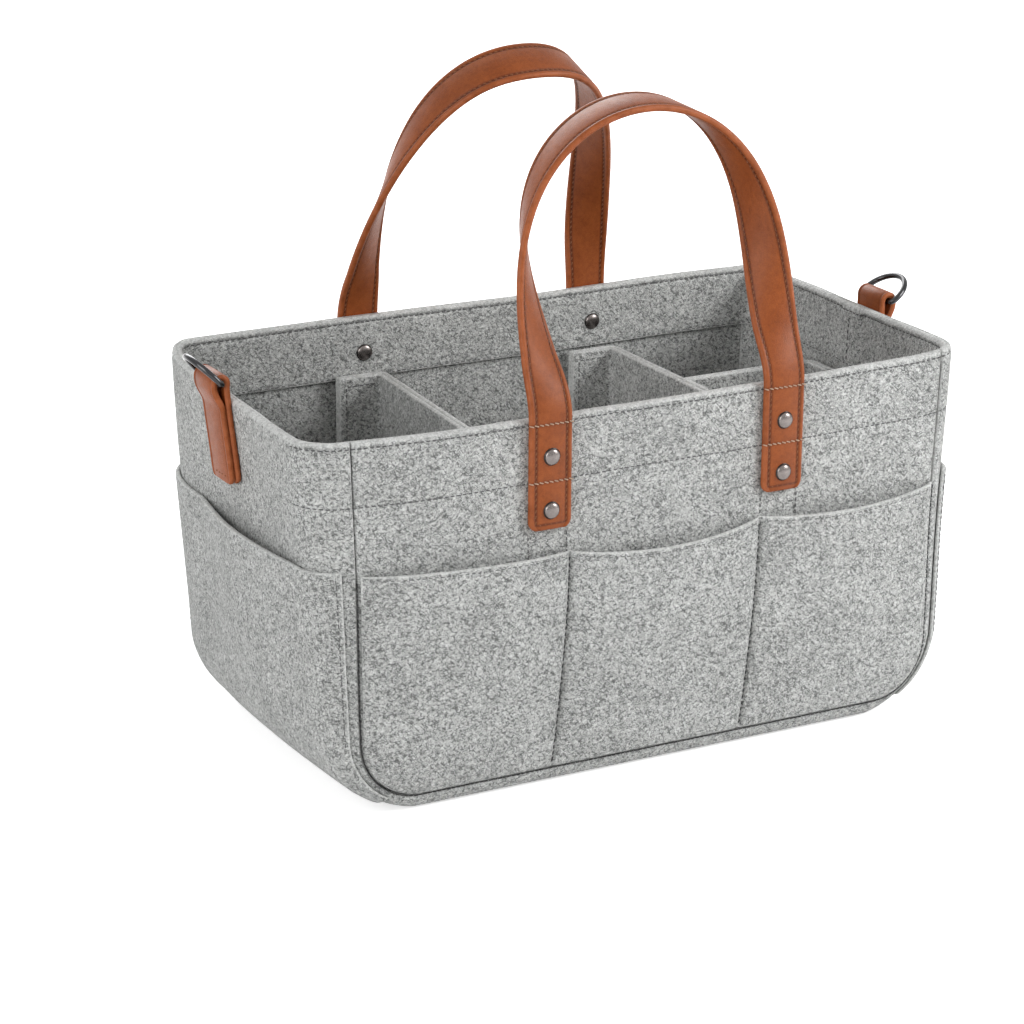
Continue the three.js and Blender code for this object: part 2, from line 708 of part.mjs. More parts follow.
// The side of an arch as it runs up one leg and down the other, as points with their share s,
// from 1 at the left foot to -1 at the right one. Its steps are one unit long.
function archSide(arch, steps) {
  const heading = (s) =>
    (Math.PI / 2) * s + arch.fullness * Math.sin(Math.PI * s) + arch.skew * Math.sin(2 * Math.PI * s);
  const list = [{ s: 1, x: 0, z: 0 }];
  for (let k = 1; k <= steps; k++) {
    const s = 1 - (2 * k) / steps;
    const angle = heading(s + 1 / steps);
    const last = list[list.length - 1];
    list.push({ s, x: last.x + Math.cos(angle), z: last.z + Math.sin(angle) });
  }
  const foot = list[list.length - 1];
  return list.map(({ s, x, z }) => ({ s, x: x / foot.x, z: z - (foot.z * x) / foot.x }));
}

// Middle line of an arch from the left anchor to the right one.
function archLine([left, right], arch) {
  const fine = 8;
  const flat = archSide(arch, ARCH_STEPS * fine);
  const top = Math.max(...flat.map((p) => p.z));
  return flat
    .filter((p, k) => k % fine === 0)
    .map(({ s, x, z }) => {
      const share = z / top;
      const tip = arch.slope * arch.height;
      const spread = arch.spread * share * (1 - share) * Math.tanh(SPREAD_TURN * s);
      const y = tip * share + (arch.reach - tip) * share * share + spread;
      return { s, point: new THREE.Vector3(mix(left, right, x), y, arch.height * share) };
    });
}

// The strap's frame at a place on its line: along it, across its width and through it.
function strapFrame(line, k, arch) {
  const { s, point } = line[k];
  const before = line[Math.max(0, k - 1)].point;
  const after = line[Math.min(line.length - 1, k + 1)].point;
  const along = after.clone().sub(before).normalize();
  if (k === 0) along.set(0, 0, 1);
  if (k === line.length - 1) along.set(0, 0, -1);
  const inward = new THREE.Vector3(0, 1, 0).cross(along).normalize();
  const rear = along.clone().cross(inward);
  const rising = 1 - Math.abs(s);
  const turn = (Math.PI / 2 + arch.tilt + arch.roll * s) * rising * (1.5 - 0.5 * rising * rising);
  const across = inward.clone().multiplyScalar(Math.cos(turn)).addScaledVector(rear, Math.sin(turn));
  return { point, along, across, through: along.clone().cross(across), thin: 1 };
}

// An arch, with its hinge at the origin of Y and Z. Its ends are round about the hinge.
function makeArch(straps, arch) {
  const line = archLine(straps, arch);
  const frames = line.map((place, k) => strapFrame(line, k, arch));
  const cap = (frame, way) =>
    [30, 60, 84].map((angle) => ({
      ...frame,
      point: frame.point.clone().addScaledVector(frame.along, (way * Math.sin(radians(angle)) * STRAP) / 2),
      thin: Math.cos(radians(angle)),
    }));
  const all = [...cap(frames[0], -1).reverse(), ...frames, ...cap(frames[frames.length - 1], 1)];
  const section = strapSection();
  const points = [];
  for (const { point, across, through, thin } of all) {
    for (const [u, v] of section) {
      const p = point.clone().addScaledVector(across, u).addScaledVector(through, v * thin);
      points.push(p.x, p.y, p.z);
    }
  }
  return tube(points, section.length, all.length);
}

// Closes rings of points into a tube with flat ends.
function tube(points, around, rings) {
  const faces = [];
  const at = (r, k) => r * around + (k % around);
  for (let r = 0; r < rings - 1; r++) {
    for (let k = 0; k < around; k++) {
      faces.push(at(r, k), at(r, k + 1), at(r + 1, k + 1), at(r, k), at(r + 1, k + 1), at(r + 1, k));
    }
  }
  for (let k = 1; k < around - 1; k++) {
    faces.push(at(0, 0), at(0, k + 1), at(0, k));
    faces.push(at(rings - 1, 0), at(rings - 1, k), at(rings - 1, k + 1));
  }
  const geometry = new THREE.BufferGeometry();
  geometry.setAttribute("position", new THREE.Float32BufferAttribute(points, 3));
  geometry.setIndex(faces);
  geometry.computeVertexNormals();
  return geometry;
}

// Rivets: turned about Y. The outer cap faces -y with its post behind it, from y = 0 inwards.
function domePoints(radius, height, steps) {
  const list = [];
  for (let k = 0; k <= steps; k++) {
    const angle = ((k / steps) * Math.PI) / 2;
    list.push(new THREE.Vector2(radius * Math.cos(angle), CAP_EDGE + height * Math.sin(angle)));
  }
  return list;
}

function makeOuterRivet(grip) {
  const dome = domePoints(RIVET_RADIUS, RIVET_DOME - CAP_EDGE, DOME_STEPS);
  dome[dome.length - 1].x = 0;
  const profile = [
    new THREE.Vector2(0, -grip),
    new THREE.Vector2(POST_RADIUS, -grip),
    new THREE.Vector2(POST_RADIUS, 0),
    new THREE.Vector2(RIVET_RADIUS, 0),
    ...dome,
  ];
  return new THREE.LatheGeometry(profile, RIVET_STEPS).rotateX(Math.PI);
}

function makeInnerRivet() {
  const dome = domePoints(INNER_RADIUS, INNER_DOME - CAP_EDGE, DOME_STEPS);
  dome[dome.length - 1].x = 0;
  const bore = POST_RADIUS + GAP;
  const profile = [
    new THREE.Vector2(0, CAP_EDGE),
    new THREE.Vector2(bore, CAP_EDGE),
    new THREE.Vector2(bore, 0),
    new THREE.Vector2(INNER_RADIUS, 0),
    ...dome,
  ];
  return new THREE.LatheGeometry(profile, RIVET_STEPS);
}

function addRivets(prefix, x, side, drops) {
  for (const [level, drop] of Object.entries(drops)) {
    const lining = level === "upper" ? FELT + GAP : 0; // the lower ones lie behind the flanges
    const outerFace = HINGE_Y + STRAP / 2 + GAP;
    const innerFace = DEPTH / 2 - FELT - GAP - lining;
    const outer = makeOuterRivet(outerFace - innerFace + CAP_EDGE - GAP);
    const inner = makeInnerRivet();
    for (const [kind, geometry, y] of [["cap", outer, outerFace], ["back", inner, innerFace]]) {
      geometry.translate(0, -y, 0);
      if (side > 0) geometry.rotateZ(Math.PI);
      geometry.translate(x, 0, HEIGHT - drop);
      add(`${prefix}_${level}_rivet_${kind}`, geometry, "metal");
    }
  }
}

// Tabs: a short strap folded over the D-ring's bar and sewn to the end wall.
const barZ = (end) => HEIGHT + BAR_RISE[endName(end)];
const LOOP = WIRE + WIRE_PLAY; // inside of the tab's loop
const barX = (end) => endAt(HEIGHT, end) + end * (GAP + TAB + LOOP);

// Outline of a tab in X and Z, drawn for the right end: up the wall, over the bar and down outside.
function tabShape(end) {
  const bar = Math.abs(barX(end));
  const low = HEIGHT - TAB_DROP;
  const wall = (z) => Math.abs(endAt(z, end)) + GAP;
  const z = barZ(end);
  const merge = z - MERGE_DROP;
  const shape = new THREE.Shape();
  shape.moveTo(wall(low), low);
  shape.lineTo(wall(low) + 2 * TAB, low);
  shape.lineTo(wall(merge) + 2 * TAB, merge);
  shape.lineTo(bar + LOOP + TAB, z - LOOP);
  shape.absarc(bar, z, LOOP + TAB, 0, Math.PI);
  shape.lineTo(wall(HEIGHT), HEIGHT);
  shape.closePath();
  const eye = new THREE.Path();
  eye.moveTo(bar + LOOP, z);
  eye.absarc(bar, z, LOOP, 0, Math.PI);
  eye.lineTo(wall(merge) + TAB, merge + TAB);
  eye.closePath();
  shape.holes.push(eye);
  return shape;
}

function makeTab(end) {
  const geometry = plate(tabShape(end), -STRAP_WIDTH / 2, STRAP_WIDTH, 2 * BEND_STEPS);
  return end > 0 ? geometry : geometry.rotateZ(Math.PI);
}

// Middle line of a D-ring that lies in X and Y, its bar on the Y axis and its curve towards +X.
function ringLine() {
  const half = STRAP_WIDTH / 2 + RING_PLAY + WIRE;
  const quarter = Math.PI / 2;
  const path = new THREE.Path();
  path.moveTo(0, 0);
  path.lineTo(0, half - RING_BEND);
  path.absarc(RING_BEND, half - RING_BEND, RING_BEND, Math.PI, quarter, true);
  path.absellipse(RING_BEND, 0, RING_REACH - RING_BEND, half, quarter, -quarter, true);
  path.absarc(RING_BEND, RING_BEND - half, RING_BEND, -quarter, -Math.PI, true);
  path.lineTo(0, 0);
  return path.getSpacedPoints(RING_STEPS).slice(0, -1);
}

function makeRing() {
  const line = ringLine();
  const points = [];
  line.forEach((p, k) => {
    const before = line[(k + line.length - 1) % line.length];
    const after = line[(k + 1) % line.length];
    const along = after.clone().sub(before).normalize();
    for (let i = 0; i < WIRE_STEPS; i++) {
      const angle = (2 * Math.PI * i) / WIRE_STEPS;
      const out = WIRE * Math.cos(angle);
      points.push(p.x - along.y * out, p.y + along.x * out, WIRE * Math.sin(angle));
    }
  });
  return loop(points, WIRE_STEPS, line.length);
}

// Closes rings of points into a loop without ends.
function loop(points, around, rings) {
  const faces = [];
  const at = (r, k) => (r % rings) * around + (k % around);
  for (let r = 0; r < rings; r++) {
    for (let k = 0; k < around; k++) {
      faces.push(at(r, k), at(r, k + 1), at(r + 1, k + 1), at(r, k), at(r + 1, k + 1), at(r + 1, k));
    }
  }
  const geometry = new THREE.BufferGeometry();
  geometry.setAttribute("position", new THREE.Float32BufferAttribute(points, 3));
  geometry.setIndex(faces);
  geometry.computeVertexNormals();
  return geometry;
}

// Assembly

add("gusset", makeGusset(), "felt");
add("front_panel", withRim(makePanel(FRONT_STRAPS, FRONT_DROPS)), "felt");
add("back_panel", toBack(makePanel(REAR_STRAPS.map((x) => -x), REAR_DROPS)), "felt");
add("rim_facing", makeFacing(), "felt");
add("front_pocket", makePocket(), "felt");
add("back_pocket", toBack(makePocket()), "felt");
add("left_side_pocket", makeSidePocket(-1), "felt");
add("right_side_pocket", makeSidePocket(1), "felt");
add("base_board", slab(baseOutline(FLAT_X, FLAT_Y), BOARD_LOW, BOARD), "board");
add("base_liner", slab(baseOutline(...linerHalves()), LINER_LOW, FELT), "felt");
add(
  "left_divider",
  makeDivider(LEFT_DIVIDER.front, 1, LEFT_DIVIDER.rear, -1, DIVIDER_TOP.left),
  "felt",
);
add(
  "right_divider",
  makeDivider(RIGHT_DIVIDER.front, -1, RIGHT_DIVIDER.rear, -1, DIVIDER_TOP.right),
  "felt",
);
add("cross_divider", makeCrossDivider(), "felt");

[-1, 1].forEach((end, k) => {
  const name = endName(end);
  add(`front_${name}_anchor`, makeAnchor(FRONT_STRAPS[k], FRONT_DROPS), "leather");
  add(`rear_${name}_anchor`, toBack(makeAnchor(-REAR_STRAPS[k], REAR_DROPS)), "leather");
  addRivets(`front_${name}`, FRONT_STRAPS[k], -1, FRONT_DROPS);
  addRivets(`rear_${name}`, REAR_STRAPS[k], 1, REAR_DROPS);
  add(`${name}_tab`, makeTab(end).translate(0, TAB_Y[name], 0), "leather");
  const ring = makeRing().rotateY(-radians(RING_REST[name]));
  if (end < 0) ring.rotateZ(Math.PI);
  add(`${name}_d_ring`, ring.translate(barX(end), TAB_Y[name], barZ(end)), "metal");
});

add("front_handle", makeArch(FRONT_STRAPS, FRONT_ARCH).translate(0, -HINGE_Y, HEIGHT), "leather");
add("rear_handle", makeArch(REAR_STRAPS, REAR_ARCH).translate(0, HINGE_Y, HEIGHT), "leather");

export default part;
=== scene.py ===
import math

import bmesh
import bpy
import numpy as np
from mathutils import Matrix, Vector


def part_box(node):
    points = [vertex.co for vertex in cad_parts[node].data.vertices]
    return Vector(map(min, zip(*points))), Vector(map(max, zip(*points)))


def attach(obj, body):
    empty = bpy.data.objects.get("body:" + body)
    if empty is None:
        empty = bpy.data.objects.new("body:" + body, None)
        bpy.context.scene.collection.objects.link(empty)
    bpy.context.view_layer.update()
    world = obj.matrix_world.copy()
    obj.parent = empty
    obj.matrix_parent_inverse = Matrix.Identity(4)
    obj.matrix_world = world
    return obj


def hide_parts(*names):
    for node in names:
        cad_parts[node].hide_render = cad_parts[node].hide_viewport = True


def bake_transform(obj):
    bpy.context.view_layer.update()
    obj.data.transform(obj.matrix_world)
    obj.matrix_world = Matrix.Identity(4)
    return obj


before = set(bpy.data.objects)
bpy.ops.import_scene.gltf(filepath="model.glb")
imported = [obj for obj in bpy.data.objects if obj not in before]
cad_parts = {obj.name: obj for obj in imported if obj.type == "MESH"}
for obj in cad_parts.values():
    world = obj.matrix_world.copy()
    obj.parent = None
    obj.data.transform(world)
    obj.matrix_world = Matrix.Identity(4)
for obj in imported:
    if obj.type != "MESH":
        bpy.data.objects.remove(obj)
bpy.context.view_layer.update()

MM = 0.001
FRONT, BACK, LEFT, RIGHT = -1, 1, -1, 1

# Sizes of the solids, in millimetres, as the part's source has them
DEPTH = 200.0
HEIGHT = 203.0
FELT = 3.0
GAP = 0.3
SEAM_TOP = 172.0
SEAM_LOW = 168.0
SEAM_RADIUS = 32.0
SEAM_LIFT = 10.0
REACH = {LEFT: 24.0, RIGHT: 13.0}
REACH_LOW = {LEFT: 15.5, RIGHT: 10.0}
CORNER = {(LEFT, FRONT): 22.0, (LEFT, BACK): 60.0, (RIGHT, FRONT): 18.0, (RIGHT, BACK): 60.0}
CORNER_LOW = {(LEFT, FRONT): 16.0, (LEFT, BACK): 60.0, (RIGHT, FRONT): 16.0, (RIGHT, BACK): 40.0}
CORNER_BASE = 11.0
CORNER_TUCK = 4.0
FACING_HEIGHT = 34.5
POCKET_SEAM_TOP = 125.0
POCKET_BULGE = 5.6
POCKET_FILL = 0.55
SEAM_SLANT = 9.0
SIDE_POCKET_TOP = 135.0
SIDE_POCKET_BULGE = 6.0
SIDE_POCKET_BEND = {LEFT: 22.0, RIGHT: 36.0}
SIDE_POCKET_TUCK = 60.0
DIVIDER = 6.0
DIVIDER_DROP = {LEFT: 31.5, RIGHT: 35.0}
DIVIDER_LOW = 9.2
FLANGE = 27.0
RIGHT_SHIFT = 2.5
CROSS_Y = 24.0
CROSS_FLANGE = 24.0
CROSS_DROP = 3.0
STRAP_WIDTH = 24.0
STRAP = 3.6
STRAP_CORNER = 5.0
STRAPS = {FRONT: (-64.5, 72.0), BACK: (-72.0, 70.0)}
DROPS = {FRONT: (24.5, 52.5), BACK: (20.0, 48.0)}
RIVET_EDGE = 10.5
FRONT_ARCH = dict(
    height=140, fullness=0.46, skew=-0.09, slope=0.53, reach=37, spread=0, tilt=0.14, roll=0.11,
)
REAR_ARCH = dict(
    height=143, fullness=0, skew=-0.14, slope=-0.08, reach=-62, spread=-20, tilt=0.63, roll=0.17,
)
SPREAD_TURN = 6.0
RIVET_RADIUS = 5.0
INNER_RADIUS = 4.7
TAB = 3.2
TAB_DROP = 46.0
TAB_Y = {LEFT: 0.0, RIGHT: -11.0}
WIRE = 1.6
LOOP = 1.95
BAR_RISE = {LEFT: 6.5, RIGHT: 4.5}
RING_REACH = 17.5
RING_BEND = 3.0
RING_PLAY = 0.8
RING_REST = {LEFT: 46.0, RIGHT: 34.0}
MERGE_DROP = 14.0

CORNER_START = SEAM_LIFT + SEAM_RADIUS
FLAT_X = SEAM_LOW - SEAM_RADIUS
HINGE_Y = DEPTH / 2 + GAP + STRAP / 2
DIVIDER_REACH = DEPTH / 2 - 2 * (FELT + GAP) - DIVIDER / 2
QUARTER = math.pi / 2

# Details of the look
POCKET_INSET = 1.0
POCKET_TOPS = (132.0, 127.0, 128.0, 130.0)  # at its left end, its two seams and its right end
POCKET_SAGS = (0.8, 6.0, 3.8)  # how far the top hangs down in each bay
HEM_ROW = 2.2  # pocket's top edge to the stitches under it
SEAM_THREAD_OUT = 0.25  # how far outside the seam's line its thread lies
RIM_ROW = 3.4  # rim to the stitches that close it
LOW_ROW = 33.2  # rim to the stitches along the facing's lower edge
RIM_ROLL = 2.2  # height of the rim's rounded top
SEAM_ROLL = 1.3  # rounding of the felt beside a seam
# How much lower the front is near the rim, from left to right: places along X, then lengths.
FRONT_DIP = (
    (-172, -146, -110, -80, -46, 0, 48, 92, 145, 160, 170, 178, 184),
    (3.6, 4.6, 5.2, 5.3, 5.2, 5.0, 4.6, 4.2, 3.4, 2.8, 1.6, 0.5, 0.0),
)
STRAP_ROW = 3.4  # strap's edge to its stitches
TAB_LEAN = {LEFT: 4.0, RIGHT: 0.0}
STRAP_STITCH = 1.9  # length of one strap stitch
PITCH = 3.0  # one strap stitch and its gap
TAB_ROW = 2.2  # tab's edge to its groove
POCKET_ROWS = 36  # points up each column of a pocket
SPLIT = 0.06  # half of the gap between the two layers of a divider
RIM_DEPTH, LOW_DEPTH = 0.9, 0.45  # how deep the two rows at the rim draw the felt in
DRIFT = 0.6  # how far the felt strays from its flat shape
HELD = 26.0  # how far to each side a strap or a tab holds the felt still
# Waves of the drift, each with its height, its lengths along the side and upwards, and its start
FRONT_WAVES = ((1, 27.0, 61.0, 0), (0.6, 15.5, -24.0, 1.3), (0.5, 80.0, 19.0, 0))
BACK_WAVES = ((1, 23.0, 50.0, 2),)
END_WAVES = ((1, 21.0, 43.0, 0.7), (0.6, 12.5, -31.0, 0))


def mix(a, b, t):
    return a + (b - a) * t


def smooth(t):
    t = np.clip(t, 0.0, 1.0)
    return t * t * (3 - 2 * t)


def ease(value, start, length):
    """0 up to start, 1 from start + length on, and smooth between."""
    return smooth((value - start) / length)


def bell(distance, width):
    return np.exp(-((distance / width) ** 2))


def unit(v):
    return v / np.maximum(np.linalg.norm(v, axis=-1, keepdims=True), 1e-9)


def places(low, high, step, marks=(), near=(0.6, 1.2, 2.0, 3.2)):
    """Values from low to high, about a step apart and closer together round the marks."""
    even = np.linspace(low, high, max(2, round((high - low) / step) + 1))
    offsets = [0, *near, *(-d for d in near)]
    close = [m + d for m in marks for d in offsets if low < m + d < high]
    keep = [v for v in even if all(abs(v - c) > near[0] * 0.9 for c in close) or v in (low, high)]
    return np.array(sorted({round(float(v), 4) for v in [*keep, *close]}))


# The shape of the box, as in the part's source

def rise(z):
    return (z - CORNER_START) / (HEIGHT - CORNER_START)


def seam_at(z):
    return mix(SEAM_LOW, SEAM_TOP, np.maximum(rise(z), 0))


def reach_at(z, end):
    return mix(REACH_LOW[end], REACH[end], rise(z))


def corner_at(z, end, side):
    return mix(CORNER_LOW[end, side], CORNER[end, side], rise(z))


def end_at(z, end):
    return end * float(seam_at(z) + reach_at(z, end))


def lower_edge(x, inset):
    radius = SEAM_RADIUS - inset
    over = np.maximum(0, np.abs(x) - FLAT_X)
    return CORNER_START - np.sqrt(np.maximum(0, radius * radius - over * over))


# Softness: one slow drift that every felt piece shares, so that the layers keep together

def waves(kinds, along, up):
    return sum(high * np.sin(along / wide + up / tall + start) for high, wide, tall, start in kinds)


def held(distance, *eases):
    """1 where a strap or a tab holds the felt still. Each of eases is a value, a start and a length."""
    near = np.exp(-((distance / HELD) ** 4))
    for value, start, length in eases:
        near = near * ease(value, start, length)
    return near


def drift(points):
    p = np.asarray(points, float)
    x, y, z = p[..., 0], p[..., 1], p[..., 2]
    calm = ease(z, 8, 50)
    for side in (FRONT, BACK):
        for strap in STRAPS[side]:
            calm = calm * (1 - held(x - strap, (z, 120, 25), (side * y, 80, 15)))
    for end in (LEFT, RIGHT):
        calm = calm * (1 - held(y - TAB_Y[end], (z, 140, 20), (end * x, 165, 12)))
    front, back = ease(-y, 60, 35), ease(y, 60, 35)
    out = p.copy()
    out[..., 1] += DRIFT * calm * (front * waves(FRONT_WAVES, x, z) - back * waves(BACK_WAVES, x, z))
    out[..., 0] += DRIFT * calm * ease(np.abs(x), 140, 30) * waves(END_WAVES, y, z) * np.sign(x)
    out[..., 2] -= dip(x, y, z)
    return out


def dip(x, y, z):
    """How far the upper part of the front hangs below the back's height."""
    along = np.interp(x, *FRONT_DIP) * smooth((60 - y) / 110)
    outer = ease(np.abs(y), 40, 45)
    low, high = mix(HEIGHT - 16, 122.0, outer), mix(HEIGHT, 166.0, outer)
    back_sway = 0.4 * ease(y, 60, 35) * ease(z, 130, 70) * np.sin(x / 34.0 + 1.0)
    return along * ease(z, low, high - low) + back_sway


def draw_in(z):
    """How deep the two stitch rows at the rim draw the felt in."""
    return RIM_DEPTH * bell(HEIGHT - RIM_ROW - z, 0.9) + LOW_DEPTH * bell(HEIGHT - LOW_ROW - z, 1.0)


# Meshes

def new_object(name, data):
    made = bpy.data.objects.new(name, data)
    bpy.context.scene.collection.objects.link(made)
    return made


def mesh_piece(name, verts, faces, material, **values):
    """A new object. Each value is a number for every point, for the material to read."""
    mesh = bpy.data.meshes.new(name)
    mesh.from_pydata((np.asarray(verts, float) * MM).tolist(), [], faces)
    mesh.validate()
    work = bmesh.new()
    work.from_mesh(mesh)
    bmesh.ops.recalc_face_normals(work, faces=work.faces)
    work.to_mesh(mesh)
    work.free()
    mesh.polygons.foreach_set("use_smooth", [True] * len(mesh.polygons))
    for key, numbers in values.items():
        mesh.attributes.new(key, "FLOAT", "POINT").data.foreach_set("value", np.asarray(numbers, float))
    mesh.materials.append(material)
    return new_object(name, mesh)


def placed(piece, body, slot, *nodes):
    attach(piece, body)
    if nodes:
        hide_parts(*nodes)
    return piece


def border(count_i, count_j):
    """The perimeter of a grid, in order, each place with its inner neighbour."""
    a, b = count_i - 1, count_j - 1
    loop = [(i, 0) for i in range(a)] + [(a, j) for j in range(b)]
    loop += [(i, b) for i in range(a, 0, -1)] + [(0, j) for j in range(b, 0, -1)]
    inner = [(min(max(i, 1), a - 1), min(max(j, 1), b - 1)) for i, j in loop]
    return loop, inner


def even_edge(points):
    """Height of a round edge and the place of its crest, from 0 on the outer face to 1 on the inner."""
    return np.full(len(points), 1.1), np.full(len(points), 0.5)


def felt_sheet(outer, inner, ring=False, edge=even_edge, turns=6):
    """Vertices, faces and the share of cut edge at every point, of a closed sheet with round
    edges between two grids. A ring sheet closes on itself along i."""
    outer, inner = np.array(outer, float), np.array(inner, float)
    ni, nj = outer.shape[:2]
    if ring:
        loops = [
            ([(i, 0) for i in range(ni)], [(i, 1) for i in range(ni)], False),
            ([(i, nj - 1) for i in range(ni)], [(i, nj - 2) for i in range(ni)], True),
        ]
    else:
        loops = [(*border(ni, nj), False)]
    rings = []
    for loop, near, turned in loops:
        li, lj = np.array(loop).T
        mi, mj = np.array(near).T
        out = unit(outer[li, lj] - outer[mi, mj])
        roll, crest = (a[:, None] for a in edge(outer[li, lj]))
        outer[li, lj] -= out * roll
        inner[li, lj] -= out * roll
        a, b = outer[li, lj], inner[li, lj]
        rows = []
        for k in range(1, turns):
            cos, sin = math.cos(k * math.pi / turns), math.sin(k * math.pi / turns)
            across = crest * (1 - cos) if cos > 0 else crest - (1 - crest) * cos
            rows.append(mix(a, b, across) + out * roll * sin)
        rings.append((loop, rows, turned))
    verts = [outer.reshape(-1, 3), inner.reshape(-1, 3)]
    faces = []
    index = lambda side, i, j: side * ni * nj + i * nj + j
    for i in range(ni if ring else ni - 1):
        n = (i + 1) % ni
        for j in range(nj - 1):
            faces.append((index(0, i, j), index(0, n, j), index(0, n, j + 1), index(0, i, j + 1)))
            faces.append((index(1, i, j), index(1, i, j + 1), index(1, n, j + 1), index(1, n, j)))
    count = 2 * ni * nj
    for loop, rows, turned in rings:
        size = len(loop)
        lines = [[index(0, i, j) for i, j in loop]]
        for row in rows:
            verts.append(row)
            lines.append(list(range(count, count + size)))
            count += size
        lines.append([index(1, i, j) for i, j in loop])
        for upper, lower in zip(lines, lines[1:]):
            for k in range(size):
                n = (k + 1) % size
                quad = (upper[n], upper[k], lower[k], lower[n])
                faces.append(quad[::-1] if turned else quad)
    verts = np.concatenate([np.reshape(v, (-1, 3)) for v in verts])
    return verts, faces, np.where(np.arange(len(verts)) < 2 * ni * nj, 0.0, 1.0)


def turned_back(points):
    """The same points turned half round about Z."""
    return np.asarray(points, float) * np.array([-1.0, -1.0, 1.0])


def facing_side(side, *grids):
    """Points drawn at the front, turned half round where they belong to the back."""
    return grids if side == FRONT else [turned_back(grid) for grid in grids]


def join_parts(parts):
    """Joins several felt sheets into one."""
    faces, count = [], 0
    for verts, own, cut in parts:
        faces.extend(tuple(k + count for k in face) for face in own)
        count += len(verts)
    return np.concatenate([p[0] for p in parts]), faces, np.concatenate([p[2] for p in parts])


def lengths(line):
    """How far along a line each of its points is."""
    return np.concatenate([[0], np.cumsum(np.linalg.norm(np.diff(line, axis=0), axis=1))])


def read_off(where, place, values):
    """Points or directions of a line, at given lengths along it."""
    return np.stack([np.interp(where, place, values[:, k]) for k in range(3)], 1)


def tube_faces(rings, around, closed=False):
    """Faces between rings of points, with a cap at each end unless the tube is closed."""
    faces = []
    for r in range(rings if closed else rings - 1):
        low, high = r * around, (r + 1) % rings * around
        for k in range(around):
            m = (k + 1) % around
            faces.append((low + k, low + m, high + m, high + k))
    if not closed:
        faces.append(tuple(range(around))[::-1])
        faces.append(tuple((rings - 1) * around + k for k in range(around)))
    return faces


def sweep(line, across, through, section, closed=False, scale=None):
    """A tube along a line. section holds (u, v) points, scale a (u, v) factor for each place."""
    line, across, through = (np.asarray(a, float) for a in (line, across, through))
    section = np.asarray(section, float)
    scale = np.ones((len(line), 2)) if scale is None else np.asarray(scale, float)
    verts = (
        line[:, None]
        + across[:, None] * (section[None, :, :1] * scale[:, None, :1])
        + through[:, None] * (section[None, :, 1:] * scale[:, None, 1:])
    )
    return verts.reshape(-1, 3), tube_faces(len(line), len(section), closed)


# Nodes for the materials

class Maker:
    """Short names for the nodes of one material."""

    def __init__(self, name):
        self.material = bpy.data.materials.new(name)
        self.material.use_nodes = True
        self.tree = self.material.node_tree
        self.shader = self.tree.nodes["Principled BSDF"]
        self.place = self.node("ShaderNodeTexCoord").outputs["Object"]

    def node(self, kind, **settings):
        made = self.tree.nodes.new(kind)
        for key, value in settings.items():
            setattr(made, key, value)
        return made

    def link(self, source, target):
        self.tree.links.new(source, target)

    def put(self, socket, value):
        """Writes a number or a colour into a socket, or links another node's output to it."""
        if isinstance(value, bpy.types.NodeSocket):
            self.link(value, socket)
        elif value is not None:
            socket.default_value = (*value, 1) if socket.type == "RGBA" else value

    def fill(self, made, **values):
        for key, value in values.items():
            self.put(made.inputs[key.replace("_", " ")], value)

    def surface(self, **values):
        """Sets the shader and gives the material."""
        self.fill(self.shader, **values)
        return self.material

    def value(self, key):
        """A number that the mesh carries at every point, such as crease, the painted shade in grooves, or
        wear.
        """
        return self.node("ShaderNodeAttribute", attribute_name=key).outputs["Fac"]

    def mapped(self, scale, rotation=(0, 0, 0), shift=(0, 0, 0), vector=None):
        made = self.node("ShaderNodeMapping")
        self.fill(made, Scale=scale, Rotation=rotation, Location=shift, Vector=vector or self.place)
        return made.outputs["Vector"]

    def noise(self, scale, detail=2.0, rough=0.5, vector=None, distortion=0.0):
        made = self.node("ShaderNodeTexNoise")
        self.fill(made, Scale=scale, Detail=detail, Roughness=rough, Distortion=distortion)
        self.fill(made, Vector=vector or self.place)
        return made.outputs["Fac"]

    def ramp(self, value, stops):
        made = self.node("ShaderNodeValToRGB")
        elements = made.color_ramp.elements
        while len(elements) < len(stops):
            elements.new(0.5)
        for element, (place, colour) in zip(elements, stops):
            element.position = place
            element.color = (*colour, 1) if hasattr(colour, "__len__") else (colour, colour, colour, 1)
        self.link(value, made.inputs["Fac"])
        return made.outputs["Color"]

    def math(self, kind, a, b=None):
        made = self.node("ShaderNodeMath", operation=kind)
        self.put(made.inputs[0], a)
        self.put(made.inputs[1], b)
        return made.outputs["Value"]

    def mix(self, kind, factor, a, b):
        made = self.node("ShaderNodeMix", data_type="RGBA", blend_type=kind)
        for slot, value in ((0, factor), (6, a), (7, b)):
            self.put(made.inputs[slot], value)
        return made.outputs[2]

    def bump(self, height, strength, distance, before=None):
        made = self.node("ShaderNodeBump")
        self.fill(made, Strength=strength, Distance=distance, Height=height, Normal=before)
        return made.outputs["Normal"]

    def patches(self, scale, detail, rough, *stops):
        """Soft patches: one noise with a colour or a number at each of the stops."""
        return self.ramp(self.noise(scale, detail, rough), stops)

    def fibres(self, scale, width, shift, low, high):
        """Short curved lines: thin level lines of one stretched noise, where a second noise is high."""
        turned = self.mapped((1, 1, 1), (shift, shift * 1.7, -shift), (shift, -shift, shift * 2))
        line = self.noise(scale, 1.0, 0.5, self.mapped((1, 1, 0.22), vector=turned))
        near = self.math("ABSOLUTE", self.math("SUBTRACT", line, 0.5))
        thin = self.ramp(near, [(0.0, 1.0), (width, 0.0)])
        moved = self.mapped((1, 1, 1), (0, 0, shift), (shift * 3, shift, 5.0))
        spots = self.noise(scale, 1.0, 0.5, moved)
        return self.math("MULTIPLY", thin, self.ramp(spots, [(low, 0.0), (high, 1.0)]))


